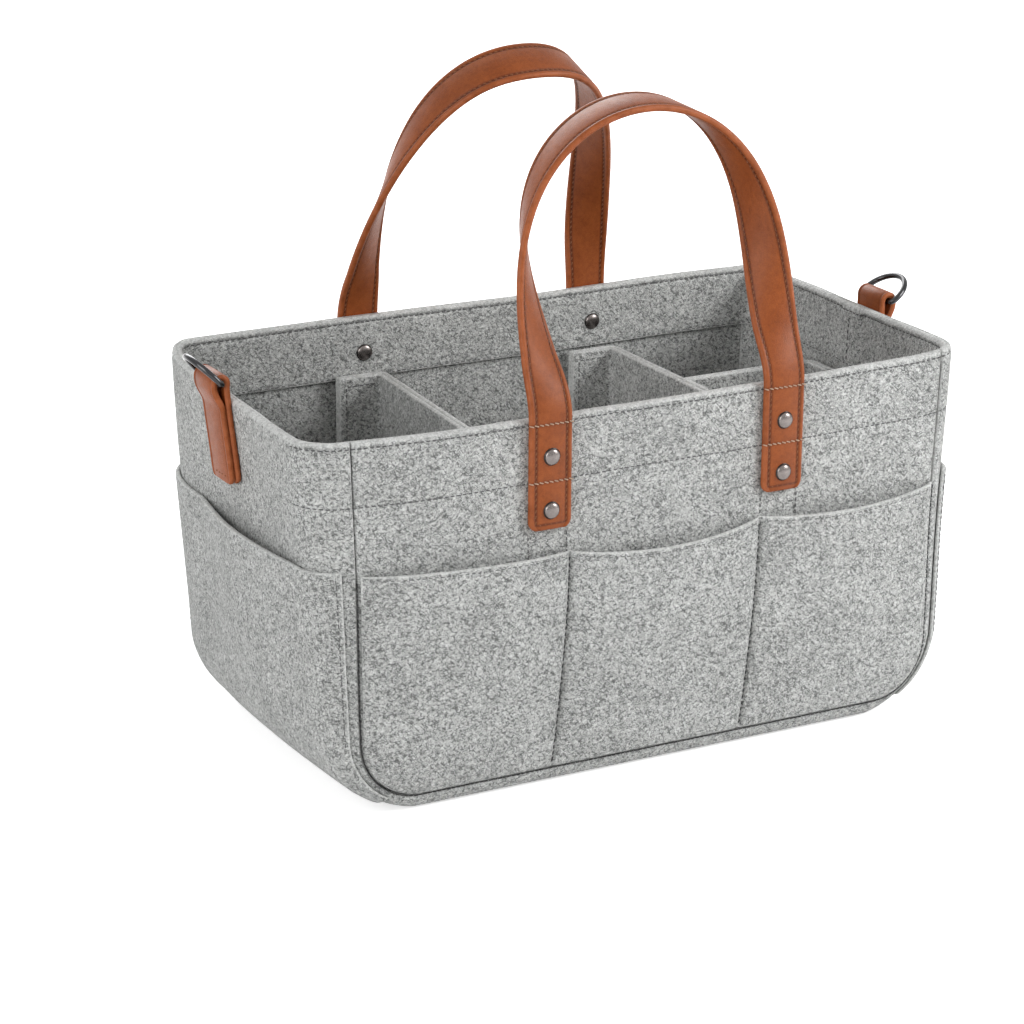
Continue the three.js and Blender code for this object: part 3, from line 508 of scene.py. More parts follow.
def felt_material(name, base, dark, pale):
    m = Maker(name)
    shade = lambda k: tuple(c * k for c in base)
    tone = m.patches(30, 3, 0.55, (0.34, shade(0.83)), (0.66, shade(1.03)))
    for scale, rough, low, high in (
        (75, 0.5, (0.36, 0.93), (0.64, 1.06)),
        (150, 0.5, (0.32, 0.93), (0.68, 1.06)),
        (1000, 0.7, (0.3, 0.8), (0.7, 1.2)),
    ):
        tone = m.mix("MULTIPLY", 1.0, tone, m.patches(scale, 2, rough, low, high))
    height = m.noise(1300, 2, 0.6)
    # pale fibres stand up from the felt, and dark ones lie in it
    for shifts, scale, width, spots, colour, strength, way, depth in (
        ((0.4, 2.3, 4.1, 6.6), 520, 0.065, (0.46, 0.54), pale, 0.5, "ADD", 0.5),
        ((1.1, 3.2, 5.7, 7.9), 480, 0.05, (0.47, 0.55), dark, 0.85, "SUBTRACT", 0.4),
    ):
        for shift in shifts:
            lines = m.fibres(scale, width, shift, *spots)
            tone = m.mix("MIX", m.math("MULTIPLY", lines, strength), tone, colour)
            height = m.math(way, height, m.math("MULTIPLY", lines, depth))
    # painted highlight: cut edges are mixed towards the pale colour, as if lit from above
    tone = m.mix("MIX", m.math("MULTIPLY", m.value("cut"), 0.42), tone, pale)
    normal = m.bump(height, 0.6, 0.0006)
    normal = m.bump(m.noise(190, 2, 0.5), 0.25, 0.0014, normal)
    m.surface(Base_Color=tone, Normal=normal)
    return m.surface(Roughness=0.95, Sheen_Weight=0.12, Sheen_Roughness=0.55)


def leather_material(name, base, dark, light):
    m = Maker(name)
    tone = m.patches(38, 4, 0.6, (0.3, base), (0.55, light), (0.75, base))
    tone = m.mix("MULTIPLY", 0.6, tone, m.patches(420, 3, 0.6, (0.35, 0.8), (0.65, 1.12)))
    cells = m.node("ShaderNodeTexVoronoi", feature="DISTANCE_TO_EDGE")
    m.fill(cells, Scale=1100, Vector=m.place)
    creases = m.ramp(cells.outputs["Distance"], [(0.0, 0.0), (0.14, 1.0)])
    tone = m.mix("MIX", m.math("MULTIPLY", m.math("SUBTRACT", 1.0, creases), 0.25), tone, dark)
    # painted shade: grooves and pressed lines, marked by crease, are darkened towards the dark colour
    tone = m.mix("MIX", m.math("MULTIPLY", m.value("crease"), 0.88), tone, dark)
    worn = m.math("MULTIPLY", m.value("wear"), m.patches(160, 3, 0.6, (0.35, 0.05), (0.6, 0.4)))
    tone = m.mix("MIX", worn, tone, tuple(min(1.0, c * 1.5 + 0.03) for c in light))
    height = m.math("ADD", m.math("MULTIPLY", creases, 0.6), m.noise(2600, 2, 0.6))
    rough = m.patches(300, 3, 0.6, (0.3, 0.36), (0.7, 0.48))
    m.surface(Base_Color=tone, Normal=m.bump(height, 0.3, 0.00025), Roughness=rough)
    return m.surface(Specular_IOR_Level=0.2, Coat_Weight=0.06, Coat_Roughness=0.3)


def thread_material(name, base):
    m = Maker(name)
    wave = m.node("ShaderNodeTexWave")
    m.fill(wave, Scale=900, Distortion=1.0, Vector=m.mapped((1, 1, 1), (0.6, 0.4, 0.8)))
    twist = wave.outputs["Fac"]
    tone = m.mix("MIX", twist, tuple(c * 0.55 for c in base), base)
    m.surface(Base_Color=tone, Normal=m.bump(twist, 0.5, 0.0001))
    return m.surface(Roughness=0.75, Sheen_Weight=0.1)


def metal_material(name, base, low, high, coat=0.0):
    m = Maker(name)
    shade = lambda k: tuple(c * k for c in base)
    tone = m.patches(500, 3, 0.6, (0.3, shade(0.8)), (0.7, base))
    # painted shadow: where crease is set, round the foot of a rivet's dome, the metal is darkened
    tone = m.mix("MIX", m.math("MULTIPLY", m.value("crease"), 0.9), tone, shade(0.12))
    rough = m.patches(1400, 3, 0.6, (0.3, low), (0.7, high))
    normal = m.bump(m.noise(3000, 2, 0.6), 0.06, 0.0001)
    m.surface(Base_Color=tone, Normal=normal, Roughness=rough)
    return m.surface(Metallic=1.0, Coat_Weight=coat, Coat_Roughness=0.05)


def board_material():
    m = Maker("board")
    grain = m.noise(1.0, 4, 0.6, m.mapped((300, 40, 300)), 0.4)
    tone = m.ramp(grain, [(0.3, (0.3, 0.25, 0.17)), (0.7, (0.42, 0.36, 0.26))])
    return m.surface(Base_Color=tone, Normal=m.bump(grain, 0.2, 0.0003), Roughness=0.85)


FELT_GREY = felt_material("felt_grey", (0.475, 0.482, 0.472), (0.095, 0.1, 0.095), (0.84, 0.85, 0.83))
LEATHER_TAN = leather_material(
    "leather_tan", (0.25, 0.06, 0.014), (0.07, 0.015, 0.005), (0.32, 0.082, 0.02),
)
# grey thread, partly its own grey and partly painted shade of the needle dents it sits in
THREAD_GREY_SHADED = thread_material("thread_grey_shaded", (0.13, 0.13, 0.13))
# near-black thread for the pockets' seams, partly its own colour and partly the painted shadow of the seam
# grooves
THREAD_DARK_SHADOW = thread_material("thread_dark_shadow", (0.035, 0.035, 0.035))
THREAD_BROWN = thread_material("thread_brown", (0.28, 0.095, 0.03))
THREAD_CREAM = thread_material("thread_cream", (0.62, 0.43, 0.3))
NICKEL_DARK = metal_material("nickel_dark", (0.23, 0.205, 0.195), 0.2, 0.3)
NICKEL_BLACK = metal_material("nickel_black", (0.05, 0.05, 0.052), 0.06, 0.14, 0.25)
BOARD = board_material()


def felt_piece(name, parts, node, body="box", painted_highlight_from=0.0):
    """Cut edges get a painted highlight, as if they caught the light; edges below the height
    painted_highlight_from are sewn in and get none.
    """
    verts, faces, cut = join_parts(parts)
    cut = cut * (verts[:, 2] > painted_highlight_from)
    return placed(mesh_piece(name, drift(verts), faces, FELT_GREY, cut=cut), body, "felt", node)


# The felt shell: gusset, panels and rim facing

def shell_edge(points):
    """The rim and the seams are rounded on the outside only, so that two layers make one round edge."""
    rim = points[:, 2] > HEIGHT - 0.01
    return np.where(rim, RIM_ROLL, SEAM_ROLL), np.ones(len(points))


def on_end(y):
    """1 on the gusset's end, 0 beside its seams."""
    return ease(np.abs(y), 74, 12)


def upright_drops(low):
    """Lengths down from the rim, closer together where the stitch rows are."""
    drops = places(0, HEIGHT - low, 5.0, (RIM_ROW, LOW_ROW), (0.35, 0.7, 1.1, 1.6))
    return [0.0] + [d for d in drops if d > RIM_ROLL + 0.4]


def drawn(outer, inner, share=1.0):
    """Draws the outer face in along the stitch rows at the rim."""
    return outer + unit(inner - outer) * (draw_in(outer[..., 2]) * share)[..., None]


def straight_station(z, end):
    corners = {side: corner_at(z, end, side) for side in (FRONT, BACK)}
    return end * float(seam_at(z)), z, end, 0.0, reach_at(z, end), corners


def corner_station(share, end):
    """A place round a lower corner, from 0 on the end wall to 1 on the underside."""
    turn = share * QUARTER
    nx, nz = end * math.cos(turn), -math.sin(turn)
    reach = mix(REACH_LOW[end], SEAM_LIFT, share) - CORNER_TUCK * math.sin(math.pi * share)
    corners = {side: mix(CORNER_LOW[end, side], CORNER_BASE, share) for side in (FRONT, BACK)}
    return end * FLAT_X + SEAM_RADIUS * nx, CORNER_START + SEAM_RADIUS * nz, nx, nz, reach, corners


def across_point(station, bend, side, lift):
    """A point of the gusset's section. bend runs from 0 at a seam to a quarter on the end."""
    x, z, nx, nz, reach, corners = station
    out = (reach + lift) * math.sin(bend)
    y = DEPTH / 2 + lift - (corners[side] + lift) * (1 - math.cos(bend))
    return x + nx * out, side * y, z + nz * out


def gusset_row(station, lift, steps=10, flat=18):
    points = [across_point(station, k / steps * QUARTER, FRONT, lift) for k in range(steps + 1)]
    front, back = np.array(points[-1]), np.array(across_point(station, QUARTER, BACK, lift))
    points += [tuple(mix(front, back, k / flat)) for k in range(1, flat)]
    points += [across_point(station, k / steps * QUARTER, BACK, lift) for k in range(steps, -1, -1)]
    return points


def gusset():
    upright = upright_drops(CORNER_START)
    halves = {}
    for end in (LEFT, RIGHT):
        halves[end] = [straight_station(HEIGHT - d, end) for d in upright]
        halves[end] += [corner_station(k / 16, end) for k in range(1, 17)]
    first, last = halves[LEFT][-1], halves[RIGHT][-1]
    middle = [(x, *first[1:]) for x in np.linspace(first[0], last[0], 56)[1:-1]]
    stations = halves[LEFT] + middle + halves[RIGHT][::-1]
    outer, inner = (np.array([gusset_row(s, lift) for s in stations]) for lift in (0, -FELT))
    outer = drawn(outer, inner, on_end(outer[..., 1]))
    felt_piece("felt_gusset", [felt_sheet(outer, inner, edge=shell_edge)], "gusset")


def pushed_in(grid, inset):
    """Keeps the inner rows of a panel's grid a little away from its outline."""
    x, z = grid[..., 0], grid[..., 2]
    sign = np.where(x < 0, -1.0, 1.0)
    over, under = np.maximum(0, np.abs(x) - FLAT_X), np.maximum(0, CORNER_START - z)
    away = np.maximum(np.hypot(over, under), 1e-6)
    low = z < CORNER_START
    distance = np.where(low, np.where(over > 0, SEAM_RADIUS - inset - away, z - SEAM_LIFT - inset),
                        seam_at(z) - inset - np.abs(x))
    way_x = np.where(low & (over > 0), -sign * over / away, np.where(low, 0.0, -sign))
    way_z = np.where(low, np.where(over > 0, under / away, 1.0), 0.0)
    ni, nj = x.shape
    i, j = np.meshgrid(np.arange(ni), np.arange(nj), indexing="ij")
    ring = np.minimum(np.minimum(i, ni - 1 - i), j)
    need = np.where(ring == 0, 0.0, 1.1 + 0.8 * np.minimum(ring, 4))
    push = np.maximum(0.0, need - distance) * (ring > 0)
    out = grid.copy()
    out[..., 0] += push * way_x
    out[..., 2] += push * way_z
    return out


def corner_columns(inset):
    low = SEAM_LOW - inset - FLAT_X
    return [FLAT_X + low * math.cos(k / 10 * QUARTER) for k in range(10)]


def panel(name, node, side):
    """side is the one it faces. The grid is drawn at the front and turned for the back."""
    straps = [side * -x for x in STRAPS[side]]
    rows = [x + way * (STRAP_WIDTH / 2 - 1) for x in straps for way in (-1, 1)]
    corner = corner_columns(GAP)
    line = list(places(-FLAT_X, FLAT_X, 5.0, rows, (0.5, 1.0, 1.8)))
    columns = [-x for x in corner] + line + corner[::-1]
    upright = HEIGHT - np.array(upright_drops(HEIGHT - 46))[::-1]
    grids = []
    for y in (-DEPTH / 2, -DEPTH / 2 + FELT):
        grid = []
        for x in columns:
            low = float(lower_edge(x, GAP))
            zs = [*np.linspace(low, upright[0], 34)[:-1], *upright]
            grid.append([(x * (seam_at(z) - GAP) / (SEAM_LOW - GAP), y, z) for z in zs])
        grids.append(pushed_in(np.array(grid), GAP))
    outer, inner = grids
    outer = drawn(outer, inner)
    # under each strap the felt is sewn to a divider's flange and lies a little lower
    level = smooth((154 - outer[..., 2]) / 6) * ease(outer[..., 2], 112, 6)
    for x in straps:
        within = smooth((STRAP_WIDTH / 2 - 0.6 - np.abs(outer[..., 0] - x)) / 0.9)
        outer[..., 1] += 0.7 * within * level
    sheet = felt_sheet(*facing_side(side, outer, inner), edge=shell_edge)
    felt_piece(name, [sheet], node, painted_highlight_from=HEIGHT - 4)


def facing_plan(z, inset, steps=10):
    """A ring of points round the wall at a height: front, right end, back and left end."""
    def corner(end, side, bend):
        return np.array(across_point(straight_station(z, end), bend, side, -inset))

    long_way = np.linspace(0, 1, 46)[1:-1]
    right_way = places(0, 1, 0.06, (0.549, 0.705), (0.004, 0.008, 0.016))[1:-1]
    left_way = np.linspace(0, 1, 18)[1:-1]
    points = []
    for end, side, bends, way, follow in (
        (RIGHT, FRONT, (0, QUARTER), right_way, (RIGHT, BACK, QUARTER)),
        (RIGHT, BACK, (QUARTER, 0), long_way, (LEFT, BACK, 0)),
        (LEFT, BACK, (0, QUARTER), left_way, (LEFT, FRONT, QUARTER)),
        (LEFT, FRONT, (QUARTER, 0), long_way, (RIGHT, FRONT, 0)),
    ):
        points += [corner(end, side, mix(*bends, k / steps)) for k in range(steps + 1)]
        points += [mix(points[-1], corner(*follow), t) for t in way]
    return np.array(points)


OVERLAP = (-15.0, 4.0)  # along the right end, where the facing's two ends lie on each other
LAP = 1.8


def facing_edge(points):
    rim = points[:, 2] > HEIGHT - 0.01
    return np.where(rim, RIM_ROLL, 1.0), np.where(rim, 0.0, 0.5)


def facing():
    drops = places(0, FACING_HEIGHT, 4.0, (RIM_ROW, LOW_ROW), (0.35, 0.7, 1.1, 1.6))
    drops = [0.0] + [d for d in drops if RIM_ROLL + 0.4 < d < FACING_HEIGHT - 1.3] + [FACING_HEIGHT]
    heights = HEIGHT - np.array(drops[::-1])
    close = lambda z: mix(GAP, 0.04, float(ease(z, HEIGHT - 9, 6)))
    outer = np.stack([facing_plan(z, FELT + close(z)) for z in heights], 1)
    inner = np.stack([facing_plan(z, 2 * FELT + GAP) for z in heights], 1)
    inner = drawn(inner, outer)
    x, y = inner[..., 0], inner[..., 1]
    lap = (x > 0) * ease(y, OVERLAP[0], 0.8) * smooth((OVERLAP[1] - y) / 0.8)
    inner[..., 0] -= LAP * lap * smooth((HEIGHT - 1 - inner[..., 2]) / 3)
    felt_piece("felt_facing", [felt_sheet(outer, inner, ring=True, edge=facing_edge)], "rim_facing")


# Pockets

def bay_seams(z):
    slant = SEAM_SLANT * max(0.0, (POCKET_SEAM_TOP - z) / (POCKET_SEAM_TOP - SEAM_LIFT)) ** 1.7
    left, right = STRAPS[FRONT]
    return left + STRAP_WIDTH / 2 - slant, right - STRAP_WIDTH / 2 - slant


def bay_edges(z):
    edge = float(seam_at(z)) - POCKET_INSET
    return (-edge, *bay_seams(z), edge)


def pocket_top(x, bay):
    low, top = bay_edges(SEAM_LIFT), bay_edges(POCKET_SEAM_TOP)
    share = (x - low[bay]) / (low[bay + 1] - low[bay])
    sag = POCKET_SAGS[bay] * (1 - (2 * share - 1) ** 2)
    return mix(top[bay], top[bay + 1], share), mix(POCKET_TOPS[bay], POCKET_TOPS[bay + 1], share) - sag


def pocket_x(low_x, top_x, z, share):
    """A column's place: straight at the pocket's sides, along the bent seams between them."""
    straight = mix(low_x, top_x, share)
    left = bay_seams(SEAM_LIFT)[0], bay_seams(POCKET_SEAM_TOP)[0]
    seam_share = np.clip((z - SEAM_LIFT) / (POCKET_SEAM_TOP - SEAM_LIFT), 0, 1)
    bent = bay_seams(z)[0] - mix(*left, seam_share)
    return straight + bent * smooth((SEAM_LOW - abs(low_x)) / 60)


def pocket_face(x, z, bay, share, depth):
    """How far out the pocket's face lies: it bulges in its bay and is drawn in at the seams."""
    edges = bay_edges(z)
    across = 2 * (x - edges[bay]) / (edges[bay + 1] - edges[bay]) - 1
    crown = max(0.0, 1 - across * across) ** 0.8
    fill = math.sin(QUARTER * min(1.0, share / POCKET_FILL))
    seam = min(abs(x - s) for s in edges[1:3])
    pinch = 1.9 * bell(seam, 1.5) + 0.5 * bell(seam, 4.5)
    if z > CORNER_START:
        near = abs(abs(x) - edges[3])
    elif abs(x) < FLAT_X:
        near = z - SEAM_LIFT - POCKET_INSET
    else:
        near = SEAM_RADIUS - POCKET_INSET - math.hypot(abs(x) - FLAT_X, CORNER_START - z)
    hem = 1.5 * (1 - smooth(max(0.0, near) / 5.0))
    return DEPTH / 2 + GAP + depth * max(0.15, 1 - (pinch + hem) / FELT) + POCKET_BULGE * crown * fill


def pocket_columns():
    """Places along the lower edge with the bay that each is in."""
    corner = corner_columns(POCKET_INSET)
    seams = bay_seams(SEAM_LIFT)
    line = places(-FLAT_X, FLAT_X, 5.0, seams, (0.5, 1.0, 1.6, 2.4, 3.6))
    xs = [-x for x in corner] + list(line) + corner[::-1]
    return [(x, sum(x > s + 1e-6 for s in seams)) for x in xs]


def pocket(name, node, side):
    grids = []
    for depth in (FELT, 0.0):
        flat = []
        for x, bay in pocket_columns():
            low = float(lower_edge(x, POCKET_INSET))
            top_x, top_z = pocket_top(x, bay)
            column = [(t, mix(low, top_z, t)) for t in np.linspace(0, 1, POCKET_ROWS)]
            flat.append([(pocket_x(x, top_x, z, t), bay, z) for t, z in column])
        grid = pushed_in(np.array(flat), POCKET_INSET)
        for column in grid:
            for j, (x, bay, z) in enumerate(column):
                column[j, 1] = -pocket_face(x, z, int(bay), j / (POCKET_ROWS - 1), depth)
        grids.append(grid)
    sheet = felt_sheet(*facing_side(side, *grids))
    felt_piece(name, [sheet], node, painted_highlight_from=POCKET_SEAM_TOP - 8)


def side_pocket_stations(end):
    """From the lowest up to the pocket's top."""
    low = [corner_station(k / 10 * SIDE_POCKET_TUCK / 90, end) for k in range(10, 0, -1)]
    return low + [straight_station(z, end) for z in np.linspace(CORNER_START, SIDE_POCKET_TOP, 31)]


def side_pocket(name, node, end):
    stations = side_pocket_stations(end)
    full = len(stations) - 16
    turns = [mix(math.radians(SIDE_POCKET_BEND[end]), QUARTER, k / 10) for k in range(11)]
    grids = []
    for lift in (GAP + FELT, GAP):
        grid = []
        for j, station in enumerate(stations):
            fill = math.sin(QUARTER * min(1.0, j / full))
            row = [across_point(station, b, FRONT, lift) for b in turns]
            front, back = np.array(row[-1]), np.array(across_point(station, QUARTER, BACK, lift))
            for t in np.linspace(0, 1, 26)[1:-1]:
                out = SIDE_POCKET_BULGE * (1 - (2 * t - 1) ** 2) * fill
                row.append(tuple(mix(front, back, t) + out * np.array([station[2], 0, station[3]])))
            row += [across_point(station, b, BACK, lift) for b in turns[::-1]]
            grid.append(row)
        grids.append(np.array(grid).transpose(1, 0, 2))
    # the felt is pressed flatter along its sewn upright edges
    outer, inner = grids
    edge = np.minimum(np.arange(len(outer)), np.arange(len(outer))[::-1])
    upright = 0.35 * np.clip(1 - edge / 3, 0, 1)
    lower = 0.55 * np.clip(1 - np.arange(outer.shape[1]) / 6, 0, 1)
    outer = outer + (inner - outer) * np.maximum(upright[:, None], lower[None])[..., None]
    felt_piece(name, [felt_sheet(outer, inner)], node)


# Base felt

def liner():
    low, high = (np.array(c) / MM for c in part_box("base_liner"))
    xs, ys = np.linspace(low[0], high[0], 40), np.linspace(low[1], high[1], 28)
    grids = []
    for z in (high[2], low[2]):
        grid = np.array([[(x, y, z) for y in ys] for x in xs])
        over = np.maximum(0, np.abs(grid[..., 0]) - (high[0] - CORNER_BASE))
        limit = high[1] - CORNER_BASE + np.sqrt(np.maximum(0, CORNER_BASE**2 - over**2))
        grid[..., 1] *= limit / high[1]
        grids.append(grid)
    felt_piece("felt_base", [felt_sheet(*grids)], "base_liner")


# Dividers: two layers of felt side by side along a bent path

def offset_path(points, offset, bend=0.9, step=6.0, steps=6):
    """A bent line moved sideways, its bends round about the same centres."""
    points = np.array(points, float)
    spans = np.diff(points, axis=0)
    along = unit(spans)
    normal = np.stack([-along[:, 1], along[:, 0]], 1)
    start = points[0] + normal[0] * offset
    line = [start]
    for k in range(1, len(points)):
        count = max(2, round(np.linalg.norm(spans[k - 1]) / step))
        if k == len(points) - 1:
            target = points[k] + normal[-1] * offset
        else:
            tip = points[k] + (normal[k - 1] + normal[k]) / (1 + normal[k - 1] @ normal[k]) * offset
            turn = math.copysign(1, along[k - 1][0] * along[k][1] - along[k - 1][1] * along[k][0])
            cut = bend + DIVIDER / 2 - turn * offset
            target, leave = tip - along[k - 1] * cut, tip + along[k] * cut
        line += [mix(start, target, n / count) for n in range(1, count + 1)]
        if k < len(points) - 1:
            for t in np.arange(1, steps + 1) / steps:
                line.append((1 - t) ** 2 * target + 2 * t * (1 - t) * tip + t * t * leave)
            start = leave
    return np.array(line)


def divider(name, node, points, high, body="box", shape=None):
    heights = places(DIVIDER_LOW, high, 8.0, (high - 5.0,), (0.7, 1.5, 3.0))
    parts = []
    for faces in ((DIVIDER / 2, SPLIT), (-SPLIT, -DIVIDER / 2)):
        grids = []
        for offset in faces:
            grid = np.array([[(x, y, z) for z in heights] for x, y in offset_path(points, offset)])
            grids.append(shape(grid) if shape else grid)
        parts.append(felt_sheet(*grids))
    felt_piece(name, parts, node, body)


def divider_points(wall, turns):
    """Middle line of a sewn divider: its front flange, its wall and its rear flange."""
    return [
        (wall[0] + turns[0] * FLANGE, -DIVIDER_REACH),
        (wall[0], -DIVIDER_REACH),
        (wall[1], DIVIDER_REACH),
        (wall[1] + turns[1] * FLANGE, DIVIDER_REACH),
    ]


EDGE = STRAP_WIDTH / 2 - DIVIDER / 2
LEFT_WALL = (STRAPS[FRONT][0] - EDGE, STRAPS[BACK][0] + EDGE)
RIGHT_WALL = (STRAPS[FRONT][1] + EDGE + RIGHT_SHIFT, STRAPS[BACK][1] + EDGE + RIGHT_SHIFT)


def cross_points():
    slope = (RIGHT_WALL[1] - RIGHT_WALL[0]) / DEPTH
    near = mix(*RIGHT_WALL, 0.5 + CROSS_Y / DEPTH) + DIVIDER / 2 + 2 * GAP + DIVIDER / 2
    far = min(end_at(CORNER_START, RIGHT), end_at(HEIGHT, RIGHT)) - FELT - 2 * GAP - DIVIDER / 2
    length = CROSS_FLANGE - DIVIDER / 2
    edge = CROSS_Y - length
    return [(near - slope * length, edge), (near, CROSS_Y), (far, CROSS_Y), (far, edge)]


def cross_shape(grid):
    """Draws the lower right corner in, to follow the gusset's lower corner."""
    out = grid.copy()
    radius = SEAM_RADIUS + FELT
    over = CORNER_START - out[..., 2]
    width = out[..., 0].max() - FLAT_X
    share = np.sqrt(np.maximum(0, radius**2 - np.maximum(0, over) ** 2)) / width
    corner = (over > 0) & (out[..., 0] > FLAT_X)
    out[..., 0] = np.where(corner, FLAT_X + (out[..., 0] - FLAT_X) * np.minimum(1, share), out[..., 0])
    return out


# Straps

def strap_section(half, thick, row):
    """Round-edged section, with a groove at the row. Gives points, groove shares (which also set the
    groove's painted shade) and edge shares.
    """
    edge = min(1.5, thick)
    cluster = [row + d for d in (-1.3, -0.6, 0.0, 0.6, 1.3)]
    right = sorted([0.0, half - edge, *cluster])
    face = [-u for u in right[:0:-1]] + right
    groove = {round(row + d, 3): g for d, g in ((-0.6, 0.55), (0.0, 1.0), (0.6, 0.55))}
    points, creases, wear = [], [], []
    for way in (-1, 1):
        for u in face if way < 0 else face[::-1]:
            crease = groove.get(round(abs(u), 3), 0.0)
            points.append((u, way * (thick - 0.55 * crease + 0.12 * (1 - (u / half) ** 2))))
            creases.append(crease)
            wear.append(0.4 if abs(u) > half - edge - 0.01 else 0.0)
        for angle in (-60, -30, 0, 30, 60):
            turn = math.radians(angle)
            points.append((-way * (half - edge + edge * math.cos(turn)), way * -thick * math.sin(turn)))
            creases.append(0.0)
            wear.append(1.0)
    return np.array(points), np.array(creases), np.array(wear)


def arch_line(straps, arch, steps):
    s = np.array([1 - 2 * k / steps for k in range(steps + 1)])
    v = s[1:] + 1 / steps
    angles = QUARTER * v + arch["fullness"] * np.sin(math.pi * v) + arch["skew"] * np.sin(2 * math.pi * v)
    x = np.concatenate([[0], np.cumsum(np.cos(angles))])
    z = np.concatenate([[0], np.cumsum(np.sin(angles))])
    z = z - z[-1] * x / x[-1]
    share = z / z.max()
    tip = arch["slope"] * arch["height"]
    spread = arch["spread"] * share * (1 - share) * np.tanh(SPREAD_TURN * s)
    y = tip * share + (arch["reach"] - tip) * share**2 + spread
    return s, np.stack([mix(*straps, x / x[-1]), y, arch["height"] * share], 1)


ROOT = 5.0  # rim down to where a strap leaves the felt
SWEEP = 26.0  # length along the arch over which it bends away


def strap_line(straps, arch, hinge_y, low, marks):
    """Places along the whole strap, from the left anchor's lower edge to the right one's."""
    s, points = arch_line(straps, arch, 220)
    points = points + np.array([0, hinge_y, HEIGHT])
    gone = lengths(points)
    first = int(np.searchsorted(gone, SWEEP))
    last = int(np.searchsorted(gone, gone[-1] - SWEEP)) - 1
    t = np.linspace(0, 1, 15)[1:-1, None]
    feet = []
    for x, k, way in ((straps[0], first, 1), (straps[1], last, -1)):
        root, up = np.array([x, hinge_y, HEIGHT - ROOT]), np.array([0, 0, 1.0])
        reach = np.linalg.norm(points[k] - root)
        along = unit(points[k + way] - points[k - way]) * reach
        curve = (
            (2 * t**3 - 3 * t**2 + 1) * root + (t**3 - 2 * t**2 + t) * up * reach
            + (3 * t**2 - 2 * t**3) * points[k] + (t**3 - t**2) * along
        )
        feet.append((curve, way * (1 - (1 - abs(s[k])) * t[:, 0] ** 2)))
    drops = places(0, HEIGHT - ROOT - low, 3.0, [m - low for m in marks], (0.5, 1.0, 1.8))
    drops = np.array(sorted({*drops, 0.35, 0.9, 1.7, 2.7}))
    left = np.stack([np.full(len(drops), straps[0]), np.full(len(drops), hinge_y), low + drops], 1)
    right = left[::-1] + np.array([straps[1] - straps[0], 0, 0])
    line = np.concatenate([left, feet[0][0], points[first : last + 1], feet[1][0][::-1], right])
    ends = np.ones(len(left))
    share = np.concatenate([ends, feet[0][1], s[first : last + 1], feet[1][1][::-1], -ends])
    along = unit(np.gradient(line, axis=0))
    along[: len(left)], along[-len(left) :] = (0, 0, 1), (0, 0, -1)
    inward = unit(np.cross(np.array([0.0, 1.0, 0.0]), along))
    rear = np.cross(along, inward)
    rising = 1 - np.abs(share)
    turn = (QUARTER + arch["tilt"] + arch["roll"] * share) * rising * (1.5 - 0.5 * rising**2)
    across = inward * np.cos(turn)[:, None] + rear * np.sin(turn)[:, None]
    return line, across, np.cross(along, across), len(left)


def end_scale(place, total, half):
    """Width and thickness factors that round off a strap's two ends."""
    near = np.minimum(np.minimum(place, total - place), STRAP_CORNER)
    narrow = STRAP_CORNER - np.sqrt(np.maximum(0, STRAP_CORNER**2 - (STRAP_CORNER - near) ** 2))
    thin = np.where(near < 1.2, np.sqrt(np.clip(1 - (1 - near / 1.2) ** 2, 0.06, 1)), 1.0)
    return np.stack([1 - narrow / half, thin], 1)


def stitches(rows, radius, length, gap, slant=0.0):
    """Short threads along rows. A row is (points, normals); each thread arches out of the face."""
    verts, faces, count, around = [], [], 0, 6
    shares = np.array([0.0, 0.16, 0.5, 0.84, 1.0])
    arch = np.array([-1.0, 0.35, 1.0, 0.35, -1.0])
    lift = arch * radius * 0.6 - 0.25 * (arch < 0)
    thick = np.array([0.55, 1.0, 1.0, 1.0, 0.55])
    angles = np.arange(around) * 2 * math.pi / around
    one = tube_faces(len(shares), around)
    for points, normals in rows:
        points, normals = np.asarray(points, float), np.asarray(normals, float)
        place = lengths(points)
        number = max(1, int(place[-1] / (length + gap)))
        pitch = place[-1] / number
        for n in range(number):
            where = (n + 0.5) * pitch + (shares - 0.5) * length
            p = read_off(where, place, points)
            up = unit(read_off(where, place, normals))
            side = unit(np.cross(unit(p[-1] - p[0])[None], up))
            p = p + side * (shares - 0.5)[:, None] * slant + up * lift[:, None]
            for k in range(len(shares)):
                turn = side[k] * np.cos(angles)[:, None] + up[k] * np.sin(angles)[:, None]
                verts.append(p[k] + turn * radius * thick[k])
            faces += [tuple(v + count for v in face) for face in one]
            count += len(shares) * around
    return np.concatenate(verts), faces


def row_of(x, y, z, normal):
    """A row for stitches, all with one normal. Any of x, y and z may be a single number."""
    points = np.stack(np.broadcast_arrays(x, y, z), 1)
    return points, np.tile(np.asarray(normal, float), (len(points), 1))


def across_row(x, y, z, side, half):
    return row_of(np.linspace(x - half, x + half, 9), y, z, (0, side, 0))


